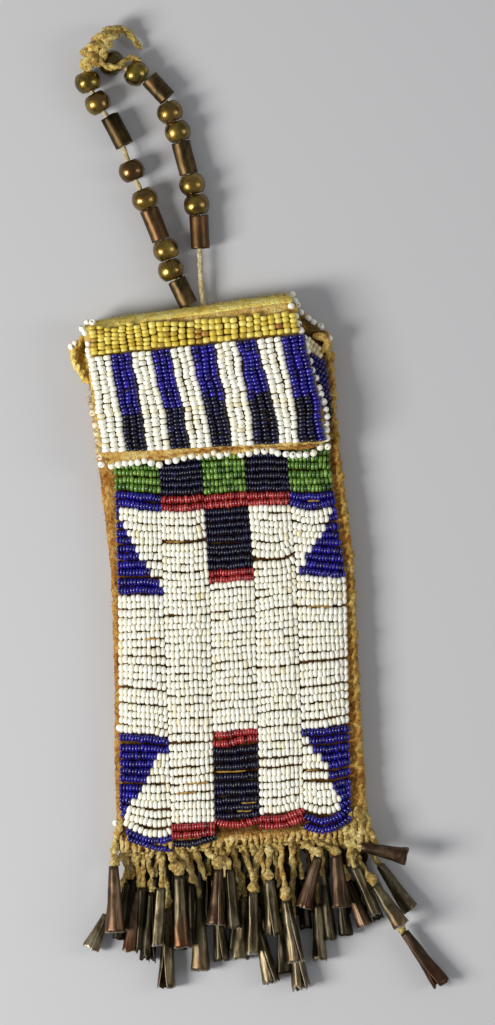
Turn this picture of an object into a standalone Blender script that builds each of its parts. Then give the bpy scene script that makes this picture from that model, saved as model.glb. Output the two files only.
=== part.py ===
"""A beaded strike-a-light bag of brain-tanned hide.

The bag lies on its back. X runs across it, Y runs up it towards the handle,
and Z is up. The origin is on the outer face of the back panel, at the middle
of the bag, where it rests on the table.
"""
import math

import bmesh
import bpy
from mathutils import Matrix, Vector

MM = 0.001

# Clearance between two pieces that touch, and the overrun of a cut.
GAP = 0.3 * MM
CUT_OVERRUN = 2.0 * MM

# Pouch, measured from the origin at its middle.
HALF_WIDTH = 40.3 * MM
POUCH_BELOW = 85.6 * MM
MOUTH_ABOVE = 76.0 * MM
SHOULDER_ABOVE = 74.5 * MM
HIDE = 1.6 * MM
FRONT_HIDE = 1.4 * MM
POCKET_DEPTH = 4.4 * MM
ARCH_RISE = 1.3 * MM
ARCH_STEPS = 8
WELT_WIDTH = 2.6 * MM
WELT_CHAMFER = 0.8 * MM
TONGUE = 3.0 * MM
EDGE_STEPS = 12

# Side edges, bottom to top: share of POUCH_BELOW along Y, then the left and
# the right edge as shares of HALF_WIDTH.
EDGE_SHARES = (
    (-1.00, -1.000, 1.002),
    (-0.70, -0.985, 1.000),
    (-0.35, -0.935, 1.007),
    (0.05, -0.906, 1.025),
    (0.33, -0.928, 0.998),
    (0.60, -0.955, 0.973),
    (1.00, -0.966, 0.978),
)

# Beadwork lanes of the front.
BEAD_HEIGHT = 1.8 * MM
BEAD_VALLEY = 0.5 * MM
LANE_DOME = 0.35 * MM
LANE_SPACING = 0.5 * MM
ROW_PITCH = 2.33 * MM
LANE_MARGIN = 2.0 * MM
LANE_COUNT = 5
LANE_BOTTOM_SHARES = (0.948, 0.965, 0.940, 0.938, 0.946)

# Lane boundaries, bottom to top: share of the lane's length, then the six
# boundaries as shares of HALF_WIDTH.
LANE_EDGE_SHARES = (
    (0.00, -0.975, -0.565, -0.222, 0.134, 0.491, 0.863),
    (0.50, -0.854, -0.496, -0.124, 0.233, 0.566, 0.930),
    (0.74, -0.817, -0.452, -0.119, 0.221, 0.561, 0.886),
    (1.00, -0.868, -0.496, -0.136, 0.223, 0.583, 0.943),
)

# Flap, measured from its hinge line in the fold's own direction.
FOLD_TILT = math.radians(4.0)
FLAP_AXIS_X = -5.64 * MM
MOUTH_TO_FOLD = 7.9 * MM
FLAP_AXIS_DROP = 1.7 * MM
FOLD_BULGE = 3.0 * MM
FOLD_HALF_WIDTH = 33.1 * MM
FOLD_STEPS = 12
FLAP_LENGTH = 46.6 * MM
FLAP_CORNER_RADIUS = 3.0 * MM
CORNER_STEPS = 3
FLAP_BEAD_HEIGHT = 1.8 * MM
FLAP_BEAD_VALLEY = 0.5 * MM
EDGE_BEAD_RADIUS = 1.0 * MM
YELLOW_COLUMNS = 28
STRIPE_COLUMNS = 30

# Corners on the flap: share of FOLD_HALF_WIDTH across and of FLAP_LENGTH down.
FLAP_OUTLINE_SHARES = ((-1.006, 0.0), (-1.036, 0.930), (1.175, 1.000), (1.033, 0.075), (1.000, 0.0))
YELLOW_SHARES = ((-0.930, 0.035), (0.985, 0.085), (-0.960, 0.165), (1.000, 0.200))
UPPER_STRIPE_SHARES = ((-0.965, 0.180), (1.005, 0.215), (-0.915, 0.560), (1.110, 0.660))
LOWER_STRIPE_SHARES = ((-0.912, 0.575), (1.112, 0.675), (-0.985, 0.860), (1.090, 0.955))

# Handle: one thong loop strung with round brass beads and rolled tubes.
THONG = 1.6 * MM
THONG_BEND = 2.0 * MM
STOPPER_SHARE = 1.5
SLIT_WIDTH = 2.2 * MM
SLIT_HEIGHT = 4.4 * MM
BRASS_BEAD = 8.4 * MM
BRASS_BEAD_LENGTH = 6.4 * MM
BRASS_BEAD_BORE = 2.8 * MM
TUBE_DIAMETER = 6.4 * MM
TUBE_LENGTH = 10.6 * MM
SHORT_TUBE_LENGTH = 8.8 * MM
TUBE_WALL = 1.0 * MM
INSIDE_FOLD = 4.2 * MM
SNUG = 0.3 * MM
STANDOFF = 1.2 * MM
SLACK_SLIGHT = 0.5 * MM
SLACK_BEND = 0.9 * MM
SLACK_TOP = 1.1 * MM
SLACK_TURN = 2.2 * MM
SLACK_MIDDLE = 2.4 * MM
SLACK_SHORT = 3.6 * MM
SLACK_LONG = 5.1 * MM
BARE_STRETCH = 18.2 * MM
HANDLE_AXIS_OUT = 1.5 * MM
THONG_STEP = 4.0 * MM
ROUTE_SAMPLES = 12

# The thong's two strands, from inside the fold up to the knot: X, the distance above the
# flap's hinge line, and Z, in units of HANDLE_UNIT.
HANDLE_UNIT = 1.0 * MM
LEFT_ROUTE = (
    (-4.3, -1.3, 4.0), (-5.0, 2.3, 4.0), (-7.3, 8.3, 4.1), (-10.2, 15.2, 4.3), (-11.3, 21.8, 4.3),
    (-14.3, 29.8, 4.3), (-16.8, 38.3, 4.3), (-20.4, 47.8, 4.3), (-24.4, 61.1, 4.3), (-29.7, 70.4, 4.3),
    (-32.5, 77.4, 4.3), (-33.4, 81.6, 4.3),
)
RIGHT_ROUTE = (
    (-0.4, -0.7, 4.0), (-0.6, 3.0, 4.0), (-0.9, 8.6, 4.2), (-0.8, 15.3, 4.3), (-0.4, 26.8, 4.3),
    (-0.5, 35.9, 4.3), (-1.5, 42.5, 4.3), (-3.4, 50.6, 4.3), (-4.9, 59.7, 4.3), (-6.8, 65.6, 4.3),
    (-10.1, 73.6, 4.3), (-16.9, 79.2, 4.3), (-24.4, 83.0, 4.3), (-28.2, 84.2, 4.3),
)
KNOT_ROUTE = (
    (-31.3, 85.1, 4.3), (-31.0, 86.5, 4.6), (-31.6, 88.1, 4.8), (-29.8, 89.7, 4.8), (-27.6, 91.1, 4.6),
    (-24.9, 92.9, 4.2), (-21.4, 93.8, 3.6), (-18.8, 92.0, 3.0), (-16.7, 89.9, 2.4), (-14.7, 87.2, 1.8),
)
KNOT_RADIUS_SHARES = (1.9, 2.6, 2.1, 1.6, 1.5, 1.5, 1.3, 1.2, 1.0, 0.7)
TAIL_ROUTE = (
    (-31.0, 86.7, 5.2), (-29.4, 85.9, 7.8), (-27.4, 84.3, 9.2), (-25.0, 82.5, 9.8), (-22.8, 81.7, 9.9),
    (-20.9, 82.7, 9.4), (-19.6, 84.3, 8.6), (-17.2, 85.0, 6.9), (-14.9, 84.7, 5.2),
)
TAIL_RADIUS_SHARES = (1.0, 1.0, 1.0, 1.0, 1.0, 0.95, 0.9, 0.8, 0.65)
KNOT_SIDES = 8

# Fringe: a strip of hide cut into thongs, with a rolled tin cone on each.
FRINGE_STRIP = 1.5 * MM
FRINGE_BASE = 2.9 * MM
FRINGE_HEIGHT = 2.8 * MM
FRINGE_THONG = 1.9 * MM
THONG_TIP = 1.0 * MM
THONG_STEPS = 4
THONG_TWIST = math.radians(90.0)
THONG_REACH_SHARE = 0.4
TIP_IN_CONE = 0.5 * MM
FRINGE_DROP = 20.0 * MM
CONE_LENGTH = 19.0 * MM
CONE_TOP_RADIUS = 1.6 * MM
CONE_MOUTH_RADIUS = 3.1 * MM
CONE_WALL = 0.4 * MM
ROUND_SIDES = 10
CONE_WAIST_SHARE = 0.55
CONE_FLARE_SHARE = 0.42
LOW_TIER = 3.3 * MM
HIGH_TIER = 9.2 * MM
MOUTH_LIFT = 0.35 * MM

# One row for each cone, left to right: place of its top as shares of
# HALF_WIDTH across and FRINGE_DROP below the seam, degrees that it leans
# towards +X, length and mouth as shares, and whether it lies in the high tier.
CONES = (
    ("tinkler_01", -1.040, 0.205, -3.0, 1.11, 1.10, True),
    ("tinkler_02", -0.861, 0.665, -13.5, 1.00, 0.90, False),
    ("tinkler_03", -0.760, 0.680, -7.9, 1.14, 0.93, False),
    ("tinkler_04", -0.635, 0.955, -6.3, 1.34, 1.03, False),
    ("tinkler_05", -0.529, 0.425, -1.9, 1.22, 1.00, True),
    ("tinkler_06", -0.391, 0.830, -2.2, 1.22, 1.00, False),
    ("tinkler_07", -0.216, 0.375, -7.5, 0.93, 1.00, True),
    ("tinkler_08", -0.246, 0.945, 0.0, 0.96, 0.93, False),
    ("tinkler_09", -0.128, 0.385, 0.6, 0.99, 0.78, True),
    ("tinkler_10", -0.027, 0.880, -7.4, 1.03, 1.00, False),
    ("tinkler_11", 0.048, 0.780, -4.4, 1.03, 0.78, True),
    ("tinkler_12", 0.058, 1.310, 9.4, 1.00, 0.97, False),
    ("tinkler_13", 0.178, 0.605, 0.4, 0.91, 0.94, True),
    ("tinkler_14", 0.300, 0.945, 5.0, 1.05, 0.95, True),
    ("tinkler_15", 0.342, 1.400, 3.2, 1.03, 1.00, False),
    ("tinkler_16", 0.578, 0.295, -20.0, 0.88, 0.94, True),
    ("tinkler_17", 0.730, 0.285, 1.5, 0.87, 1.03, True),
    ("tinkler_18", 0.797, 0.725, 17.6, 0.82, 0.93, False),
    ("tinkler_19", 0.930, 0.175, 74.0, 0.78, 1.00, True),
    ("tinkler_20", 1.068, 0.510, 29.6, 0.91, 0.96, False),
    ("tinkler_21", 1.012, 0.805, 29.0, 0.81, 0.96, True),
    ("tinkler_22", 1.222, 1.610, 31.5, 1.06, 1.00, False),
)
# The last cone hangs from the thong that runs on through this one.
THREADED_CONE = "tinkler_21"
LAST_CONE = "tinkler_22"
ROOT_LIMIT_SHARE = 0.965

# Places that follow from the mouth's, and heights that follow from the layers.
LANE_TOP = MOUTH_ABOVE - LANE_MARGIN
FLAP_AXIS_Y = MOUTH_ABOVE + MOUTH_TO_FOLD
FRONT_EDGE = HIDE + POCKET_DEPTH
WELT_TOP = FRONT_EDGE + FRONT_HIDE
LANES_TOP = FRONT_EDGE + ARCH_RISE + FRONT_HIDE + GAP + BEAD_HEIGHT
FLAP_BASE = LANES_TOP + GAP
FOLD_HEIGHT = FLAP_BASE + HIDE
FLAP_AXIS_Z = FLAP_BASE - FLAP_AXIS_DROP
SEAM_Y = -POUCH_BELOW
FRINGE_AXIS_Y = SEAM_Y - GAP / 2
FRINGE_AXIS_Z = FRINGE_BASE + FRINGE_HEIGHT
PANEL_FOOT = SEAM_Y + WELT_WIDTH + GAP


def clear_scene():
    for old in list(bpy.data.objects):
        bpy.data.objects.remove(old, do_unlink=True)


def material(name, colour, roughness, metallic):
    """A Principled material, made once and shared by name."""
    found = bpy.data.materials.get(name)
    if found:
        return found
    made = bpy.data.materials.new(name)
    made.use_nodes = True
    shader = made.node_tree.nodes["Principled BSDF"]
    shader.inputs["Base Color"].default_value = (*colour, 1.0)
    shader.inputs["Roughness"].default_value = roughness
    shader.inputs["Metallic"].default_value = metallic
    made.diffuse_color = (*colour, 1.0)
    return made


def hide_material():
    return material("hide", (0.47, 0.33, 0.16), 0.9, 0.0)


def thong_material():
    return material("thong", (0.62, 0.50, 0.27), 0.85, 0.0)


def bead_material(name):
    colours = {
        "beads_white": (0.80, 0.76, 0.65),
        "beads_yellow": (0.55, 0.40, 0.10),
        "beads_blue": (0.03, 0.02, 0.30),
        "beads_navy": (0.02, 0.02, 0.06),
    }
    return material(name, colours[name], 0.3, 0.0)


def brass_material():
    return material("brass", (0.36, 0.27, 0.10), 0.35, 1.0)


def copper_material():
    return material("rolled_copper", (0.30, 0.16, 0.09), 0.4, 1.0)


def tin_material():
    return material("tin", (0.17, 0.14, 0.10), 0.4, 1.0)


def add_object(name, data, finish, parent=None):
    """Link a mesh or curve as an object, under a parent if one is given."""
    made = bpy.data.objects.new(name, data)
    bpy.context.scene.collection.objects.link(made)
    if finish:
        data.materials.append(finish)
    made.parent = parent
    return made


def add_empty(name, location, tilt=0.0):
    """An empty that stands on a joint's axis."""
    made = add_object(name, None, None)
    made.location = location
    made.rotation_euler = (0.0, 0.0, tilt)
    return made


def mesh_from(name, build, smooth=False):
    """A mesh from a bmesh whose faces all point out."""
    bmesh.ops.recalc_face_normals(build, faces=build.faces)
    mesh = bpy.data.meshes.new(name)
    build.to_mesh(mesh)
    build.free()
    if smooth:
        mesh.shade_smooth()
        mesh.set_sharp_from_angle(angle=math.radians(40.0))
    return mesh


def hide_from_build(helper):
    """Mark a cutter or an operand that is no piece of the bag."""
    helper.hide_render = True
    helper.display_type = "WIRE"


def swept(name, rings, closed=False):
    """A skin over equal rings of points, capped at its ends unless closed."""
    build = bmesh.new()
    loops = [[build.verts.new(point) for point in ring] for ring in rings]
    count = len(loops[0])
    pairs = list(zip(loops, loops[1:] + loops[:1])) if closed else list(zip(loops, loops[1:]))
    for lower, upper in pairs:
        for i in range(count):
            j = (i + 1) % count
            build.faces.new((lower[i], lower[j], upper[j], upper[i]))
    if not closed:
        build.faces.new(list(reversed(loops[0])))
        build.faces.new(loops[-1])
    return mesh_from(name, build)


def slab(name, outline, low, high):
    """An outline of (x, y) points extruded from one height to another."""
    rings = [[(x, y, z) for x, y in outline] for z in (low, high)]
    return swept(name, rings)


def turned(name, profile, sides):
    """A closed profile of (radius, height) points spun once round local Z."""
    build = bmesh.new()
    verts = [build.verts.new((radius, 0.0, height)) for radius, height in profile]
    edges = [build.edges.new((verts[i - 1], verts[i])) for i in range(len(verts))]
    bmesh.ops.spin(
        build, geom=verts + edges, cent=(0.0, 0.0, 0.0), axis=(0.0, 0.0, 1.0),
        angle=math.tau, steps=sides, use_merge=True,
    )
    return mesh_from(name, build, smooth=True)


def smooth_path(points, samples=ROUTE_SAMPLES):
    """Points of a smooth curve that passes through all the given points."""
    knots = [Vector(point) for point in points]
    ends = [2 * knots[0] - knots[1]] + knots + [2 * knots[-1] - knots[-2]]
    path = []
    for i in range(len(knots) - 1):
        before, start, end, after = ends[i:i + 4]
        for step in range(samples):
            t = step / samples
            path.append(0.5 * (
                2 * start + (end - before) * t
                + (2 * before - 5 * start + 4 * end - after) * t ** 2
                + (3 * start - before - 3 * end + after) * t ** 3
            ))
    path.append(knots[-1])
    return path


def along(path, distance):
    """The point and the direction at a distance along a path."""
    walked = 0.0
    for start, end in zip(path, path[1:]):
        step = (end - start).length
        if walked + step >= distance:
            return start.lerp(end, (distance - walked) / step), (end - start).normalized()
        walked += step
    return path[-1], (path[-1] - path[-2]).normalized()


def path_length(path):
    return sum((end - start).length for start, end in zip(path, path[1:]))


def edge_x(side, y):
    """The pouch's outer edge at a height y: side 0 is left and 1 is right."""
    knots = [(row[0] * POUCH_BELOW, row[1 + side] * HALF_WIDTH, 0.0) for row in EDGE_SHARES]
    path = smooth_path(knots)
    for start, end in zip(path, path[1:]):
        if y <= end.x:
            return start.y + (end.y - start.y) * (y - start.x) / (end.x - start.x)
    return path[-1].y


def side_line(side, inset, low, high, steps=EDGE_STEPS):
    """Points up one side of the pouch, set in from its outer edge."""
    inward = inset if side == 0 else -inset
    heights = [low + (high - low) * i / steps for i in range(steps + 1)]
    return [(edge_x(side, y) + inward, y) for y in heights]


def flap_point(across, down):
    """World X and Y of a place given from the flap's hinge line."""
    turn_cos, turn_sin = math.cos(FOLD_TILT), math.sin(FOLD_TILT)
    x = FLAP_AXIS_X + across * turn_cos + down * turn_sin
    y = FLAP_AXIS_Y + across * turn_sin - down * turn_cos
    return x, y


def front_top(x, y):
    """Height of the front panel's outer face."""
    inset = WELT_WIDTH + GAP
    left, right = edge_x(0, y) + inset, edge_x(1, y) - inset
    share = min(max((x - left) / (right - left), 0.0), 1.0)
    return FRONT_EDGE + FRONT_HIDE + ARCH_RISE * math.sin(math.pi * share)


def back_panel():
    """The back hide, which widens above the mouth and runs to the fold."""
    inset = WELT_WIDTH + GAP
    step_y = MOUTH_ABOVE + GAP
    right = side_line(1, inset, PANEL_FOOT, SHOULDER_ABOVE)
    left = side_line(0, inset, PANEL_FOOT, step_y)
    top_right = flap_point(FOLD_HALF_WIDTH, GAP)
    top_left = flap_point(-FOLD_HALF_WIDTH, GAP)
    left_step = (edge_x(0, step_y), step_y)
    outline = right + [top_right, top_left, left_step] + list(reversed(left))
    add_object("back_panel", slab("back_panel", outline, 0.0, HIDE), hide_material())


def front_panel():
    """The front hide, gently arched over the pocket."""
    inset = WELT_WIDTH + GAP
    left = side_line(0, inset, PANEL_FOOT, MOUTH_ABOVE)
    right = side_line(1, inset, PANEL_FOOT, MOUTH_ABOVE)
    rings = []
    for (left_x, y), (right_x, _) in zip(left, right):
        row = []
        for i in range(ARCH_STEPS + 1):
            share = i / ARCH_STEPS
            lift = ARCH_RISE * math.sin(math.pi * share)
            row.append((left_x + (right_x - left_x) * share, y, FRONT_EDGE + FRONT_HIDE + lift))
        under = [(x, y, z - FRONT_HIDE) for x, y, z in reversed(row)]
        rings.append(row + under)
    add_object("front_panel", swept("front_panel", rings), hide_material())


def welt_profile(tongue):
    """Cross-section of a welt: distance in from the outer edge, and height."""
    low, high = HIDE + GAP, FRONT_EDGE - GAP
    root = [(WELT_CHAMFER, 0.0), (WELT_WIDTH, 0.0)]
    middle = [(WELT_WIDTH, low), (tongue, low), (tongue, high), (WELT_WIDTH, high)]
    crown = [
        (WELT_WIDTH, WELT_TOP), (WELT_CHAMFER, WELT_TOP),
        (0.0, WELT_TOP - WELT_CHAMFER), (0.0, WELT_CHAMFER),
    ]
    return root + (middle if tongue > WELT_WIDTH else []) + crown


def side_welts():
    """The welt strips sewn between the panels along both sides."""
    profile = welt_profile(WELT_WIDTH + GAP + TONGUE)
    for side, name in ((0, "side_welt_left"), (1, "side_welt_right")):
        inward = 1.0 if side == 0 else -1.0
        high = MOUTH_ABOVE if side == 0 else SHOULDER_ABOVE - GAP
        rings = [
            [(x + inward * depth, y, z) for depth, z in profile]
            for x, y in side_line(side, 0.0, PANEL_FOOT, high)
        ]
        add_object(name, swept(name, rings), hide_material())


def bottom_welt():
    """The seam that closes the foot of the pouch."""
    profile = welt_profile(0.0)
    rings = [
        [(x, SEAM_Y + depth, z) for depth, z in profile]
        for x in (edge_x(0, SEAM_Y), edge_x(1, SEAM_Y))
    ]
    add_object("bottom_welt", swept("bottom_welt", rings), hide_material())


def lane_edge(boundary, share):
    """X of a lane boundary at a share of the lane's length."""
    for low, high in zip(LANE_EDGE_SHARES, LANE_EDGE_SHARES[1:]):
        if share <= high[0]:
            part = (share - low[0]) / (high[0] - low[0])
            return HALF_WIDTH * (low[1 + boundary] + (high[1 + boundary] - low[1 + boundary]) * part)
    return HALF_WIDTH * LANE_EDGE_SHARES[-1][1 + boundary]


def bead_lane(index):
    """One lane of lane stitch: a slab with a ridge for each row of beads."""
    foot = -POUCH_BELOW * LANE_BOTTOM_SHARES[index]
    rows = round((LANE_TOP - foot) / ROW_PITCH)
    stations = 2 * rows
    breaks = [round(row[0] * rows) * 2 for row in LANE_EDGE_SHARES]

    def sides(station):
        """X of both sides and Y, straight between the breaks."""
        for low, high in zip(breaks, breaks[1:]):
            if station <= high:
                part = (station - low) / (high - low)
                ends = [
                    (lane_edge(index, s / stations) + LANE_SPACING / 2,
                     lane_edge(index + 1, s / stations) - LANE_SPACING / 2)
                    for s in (low, high)
                ]
                left = ends[0][0] + (ends[1][0] - ends[0][0]) * part
                right = ends[0][1] + (ends[1][1] - ends[0][1]) * part
                return left, right, foot + (LANE_TOP - foot) * station / stations

    build = bmesh.new()
    crown = []
    for station in range(stations + 1):
        left, right, y = sides(station)
        middle = (left + right) / 2
        dip = 0.0 if station % 2 else BEAD_VALLEY
        row = []
        for x, drop in ((left, LANE_DOME), (middle, 0.0), (right, LANE_DOME)):
            row.append(build.verts.new((x, y, front_top(x, y) + GAP + BEAD_HEIGHT - dip - drop)))
        crown.append(row)
    floor = []
    for station in range(0, stations + 1, 2):
        left, right, y = sides(station)
        floor.append([build.verts.new((x, y, front_top(x, y) + GAP)) for x in (left, right)])
    for low, high in zip(crown, crown[1:]):
        for i in (0, 1):
            build.faces.new((low[i], low[i + 1], high[i + 1], high[i]))
    for k, (low, high) in enumerate(zip(floor, floor[1:])):
        near, ridge, far = crown[2 * k:2 * k + 3]
        build.faces.new((low[0], high[0], high[1], low[1]))
        build.faces.new((low[0], near[0], ridge[0], far[0], high[0]))
        build.faces.new((high[1], far[2], ridge[2], near[2], low[1]))
    build.faces.new([floor[0][0], floor[0][1]] + list(reversed(crown[0])))
    build.faces.new([floor[-1][1], floor[-1][0]] + crown[-1])
    name = f"bead_lane_{index + 1}"
    add_object(name, mesh_from(name, build), bead_material("beads_white"))


def flap_fold(axis):
    """The bend of hide that joins the back panel to the flap, with its slits."""
    def arc(bulge, half_height, order):
        centre = FOLD_HEIGHT / 2
        turns = [math.pi * (i / FOLD_STEPS - 0.5) for i in range(FOLD_STEPS + 1)]
        return [
            (bulge * math.cos(turn), centre + half_height * math.sin(turn))
            for turn in (turns if order > 0 else reversed(turns))
        ]

    section = arc(FOLD_BULGE, FOLD_HEIGHT / 2, 1) + arc(FOLD_BULGE - HIDE, FOLD_HEIGHT / 2 - HIDE, -1)
    rings = [
        [(x, out, z - FLAP_AXIS_Z) for out, z in section]
        for x in (-FOLD_HALF_WIDTH, FOLD_HALF_WIDTH)
    ]
    fold = add_object("flap_fold", swept("flap_fold", rings), hide_material(), axis)
    for side, route in (("left", LEFT_ROUTE), ("right", RIGHT_ROUTE)):
        hole = route_in_metres(route)[1]
        half_depth = FOLD_BULGE + CUT_OVERRUN
        outline = [
            (hole.x + across * SLIT_WIDTH / 2, hole.y + out * half_depth)
            for across, out in ((-1, -1), (1, -1), (1, 1), (-1, 1))
        ]
        mesh = slab(f"slit_{side}", outline, hole.z - SLIT_HEIGHT / 2, hole.z + SLIT_HEIGHT / 2)
        cutter = add_object(f"slit_{side}", mesh, None)
        hide_from_build(cutter)
        cut = fold.modifiers.new(f"slit_{side}", "BOOLEAN")
        cut.operation = "DIFFERENCE"
        cut.object = cutter


def flap_places(shares):
    """Local X and Y on the flap for a table of shares."""
    return [(FOLD_HALF_WIDTH * across, -GAP - FLAP_LENGTH * down) for across, down in shares]


def flap_hide(axis):
    """The flap's own hide, with rounded lower corners."""
    outline = flap_places(FLAP_OUTLINE_SHARES)
    low = FLAP_BASE - FLAP_AXIS_Z
    mesh = slab("flap_hide", outline, low, low + HIDE)
    build = bmesh.new()
    build.from_mesh(mesh)
    corners = [
        edge for edge in build.edges
        if abs(edge.verts[0].co.z - edge.verts[1].co.z) > HIDE / 2
        and edge.verts[0].co.y < -FLAP_LENGTH / 2
    ]
    bmesh.ops.bevel(
        build, geom=corners, offset=FLAP_CORNER_RADIUS, offset_type="OFFSET",
        segments=CORNER_STEPS, profile=0.5, affect="EDGES", clamp_overlap=True,
    )
    add_object("flap_hide", mesh_from("flap_hide", build), hide_material(), axis)


def ridge_field(name, shares, columns, finish, axis):
    """A patch of beadwork on the flap, with a ridge down each column."""
    top_left, top_right, foot_left, foot_right = [Vector(p) for p in flap_places(shares)]
    base = FOLD_HEIGHT + GAP - FLAP_AXIS_Z
    build = bmesh.new()
    crown = []
    for i in range(2 * columns + 1):
        share = i / (2 * columns)
        height = base + FLAP_BEAD_HEIGHT - (0.0 if i % 2 else FLAP_BEAD_VALLEY)
        ends = (foot_left.lerp(foot_right, share), top_left.lerp(top_right, share))
        crown.append([build.verts.new((end.x, end.y, height)) for end in ends])
    floor = [
        [build.verts.new((end.x, end.y, base)) for end in ends]
        for ends in ((foot_left, top_left), (foot_right, top_right))
    ]
    for near, far in zip(crown, crown[1:]):
        build.faces.new((near[0], far[0], far[1], near[1]))
    build.faces.new((floor[0][0], floor[0][1], floor[1][1], floor[1][0]))
    build.faces.new([floor[0][0], floor[1][0]] + [pair[0] for pair in reversed(crown)])
    build.faces.new([floor[1][1], floor[0][1]] + [pair[1] for pair in crown])
    build.faces.new((floor[0][1], floor[0][0], crown[0][0], crown[0][1]))
    build.faces.new((floor[1][0], floor[1][1], crown[-1][1], crown[-1][0]))
    add_object(name, mesh_from(name, build), finish, axis)


def tube_curve(name, points, radius, finish, parent=None, swells=None):
    """A round cord as a curve with filled caps, through points in local space."""
    curve = bpy.data.curves.new(name, "CURVE")
    curve.dimensions = "3D"
    curve.bevel_depth = radius
    curve.bevel_resolution = 2
    curve.use_fill_caps = True
    line = curve.splines.new("POLY")
    line.points.add(len(points) - 1)
    for i, point in enumerate(points):
        line.points[i].co = (*point, 1.0)
        line.points[i].radius = swells[i] if swells else 1.0
    return add_object(name, curve, finish, parent)


def flap_edge_beads(axis):
    """The string of beads sewn along the flap's two sides and its foot."""
    top_left, foot_left, foot_right, top_right = [Vector(p) for p in flap_places(FLAP_OUTLINE_SHARES)[:4]]
    off = EDGE_BEAD_RADIUS + GAP
    knee = FLAP_CORNER_RADIUS
    path = [(top_left.x - off, top_left.y - off)]
    for corner, inward, start in ((foot_left, 1, math.pi), (foot_right, -1, 1.5 * math.pi)):
        centre = corner + Vector((inward * knee, knee))
        for i in range(CORNER_STEPS + 1):
            turn = start + math.pi / 2 * i / CORNER_STEPS
            reach = knee + off + GAP
            path.append((centre.x + reach * math.cos(turn), centre.y + reach * math.sin(turn)))
    path.append((top_right.x + off, top_right.y - off))
    height = FLAP_BASE + EDGE_BEAD_RADIUS - FLAP_AXIS_Z
    points = [(x, y, height) for x, y in path]
    tube_curve("flap_edge_beads", points, EDGE_BEAD_RADIUS, bead_material("beads_white"), axis)


def flap():
    axis = add_empty("flap_axis", (FLAP_AXIS_X, FLAP_AXIS_Y, FLAP_AXIS_Z), FOLD_TILT)
    flap_fold(axis)
    flap_hide(axis)
    ridge_field("flap_yellow_beads", YELLOW_SHARES, YELLOW_COLUMNS, bead_material("beads_yellow"), axis)
    ridge_field("flap_stripes_upper", UPPER_STRIPE_SHARES, STRIPE_COLUMNS, bead_material("beads_blue"), axis)
    ridge_field("flap_stripes_lower", LOWER_STRIPE_SHARES, STRIPE_COLUMNS, bead_material("beads_navy"), axis)
    flap_edge_beads(axis)


def route_in_metres(route):
    """The points of a route, which starts at the flap's hinge line."""
    hinge = Vector((0.0, FLAP_AXIS_Y, 0.0))
    return [hinge + Vector(point) * HANDLE_UNIT for point in route]


def strung_pieces():
    """Every bead and tube: name, kind, centre and direction on its strand."""
    bead, tube = BRASS_BEAD_LENGTH, TUBE_LENGTH
    left = (
        ("tube_left_3", SHORT_TUBE_LENGTH, STANDOFF), ("bead_left_6", bead, SLACK_SLIGHT),
        ("bead_left_5", bead, SNUG), ("tube_left_2", tube, SNUG), ("bead_left_4", bead, SNUG), ("bead_left_3", bead, SLACK_SHORT),
        ("tube_left_1", tube, SLACK_LONG), ("bead_left_2", bead, SLACK_MIDDLE),
        ("bead_left_1", bead, SLACK_TOP),
    )
    right = (
        ("tube_right_3", tube, BARE_STRETCH), ("bead_right_6", bead, SNUG), ("bead_right_5", bead, SNUG),
        ("tube_right_2", tube, SNUG), ("bead_right_4", bead, SNUG), ("bead_right_3", bead, SNUG),
        ("tube_right_1", SHORT_TUBE_LENGTH, SLACK_BEND), ("bead_right_2", bead, SLACK_BEND),
        ("bead_right_1", bead, SLACK_TURN),
    )
    pieces = []
    for strand, route in ((left, LEFT_ROUTE), (right, RIGHT_ROUTE)):
        path = smooth_path(route_in_metres(route))
        walked = INSIDE_FOLD
        for name, length, gap in strand:
            walked += gap + length / 2
            centre, direction = along(path, walked)
            pieces.append((name, length, centre, direction))
            walked += length / 2
    return pieces


def brass_bead_profile():
    """Half section of a round bead with flat ends and a bore."""
    radius, half, bore = BRASS_BEAD / 2, BRASS_BEAD_LENGTH / 2, BRASS_BEAD_BORE / 2
    heights = [half * share for share in (-1.0, -0.55, 0.0, 0.55, 1.0)]
    return [(bore, half), (bore, -half)] + [(math.sqrt(radius ** 2 - z ** 2), z) for z in heights]


def tube_profile(length):
    """Half section of a plain rolled tube."""
    outer, inner, half = TUBE_DIAMETER / 2, TUBE_DIAMETER / 2 - TUBE_WALL, length / 2
    return [(inner, half), (inner, -half), (outer, -half), (outer, half)]


def handle_axis_point():
    """World place of the line about which the whole handle lifts."""
    x, y = flap_point(0.0, -HANDLE_AXIS_OUT)
    return Vector((x, y, FOLD_HEIGHT / 2))


def thong(name, route, axis):
    """One strand of the handle, with a stopper knot inside the fold."""
    path = smooth_path(route_in_metres(route))
    length = path_length(path)
    steps = round(length / THONG_STEP)
    distances = [0.0, THONG_BEND / 2, THONG_BEND]
    distances += [THONG_BEND + (length - THONG_BEND) * i / steps for i in range(1, steps)]
    points = [along(path, distance)[0] for distance in distances] + [path[-1]]
    swells = [STOPPER_SHARE, STOPPER_SHARE] + [1.0] * (len(points) - 2)
    made = tube_curve(name, points, THONG / 2, thong_material(), axis, swells)
    made.matrix_parent_inverse = Matrix.Translation(-handle_axis_point())


def round_tube(name, points, radii, sides):
    """A closed tube round a path, as a mesh, with a radius at each point."""
    rings = []
    side_way = Vector((0.0, 0.0, 1.0))
    for i, point in enumerate(points):
        ahead = points[min(i + 1, len(points) - 1)] - points[max(i - 1, 0)]
        ahead.normalize()
        side_way = (side_way - ahead * side_way.dot(ahead)).normalized()
        other = ahead.cross(side_way)
        turns = [math.tau * k / sides for k in range(sides)]
        rings.append([
            point + radii[i] * (side_way * math.cos(turn) + other * math.sin(turn)) for turn in turns
        ])
    return swept(name, rings)


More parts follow.
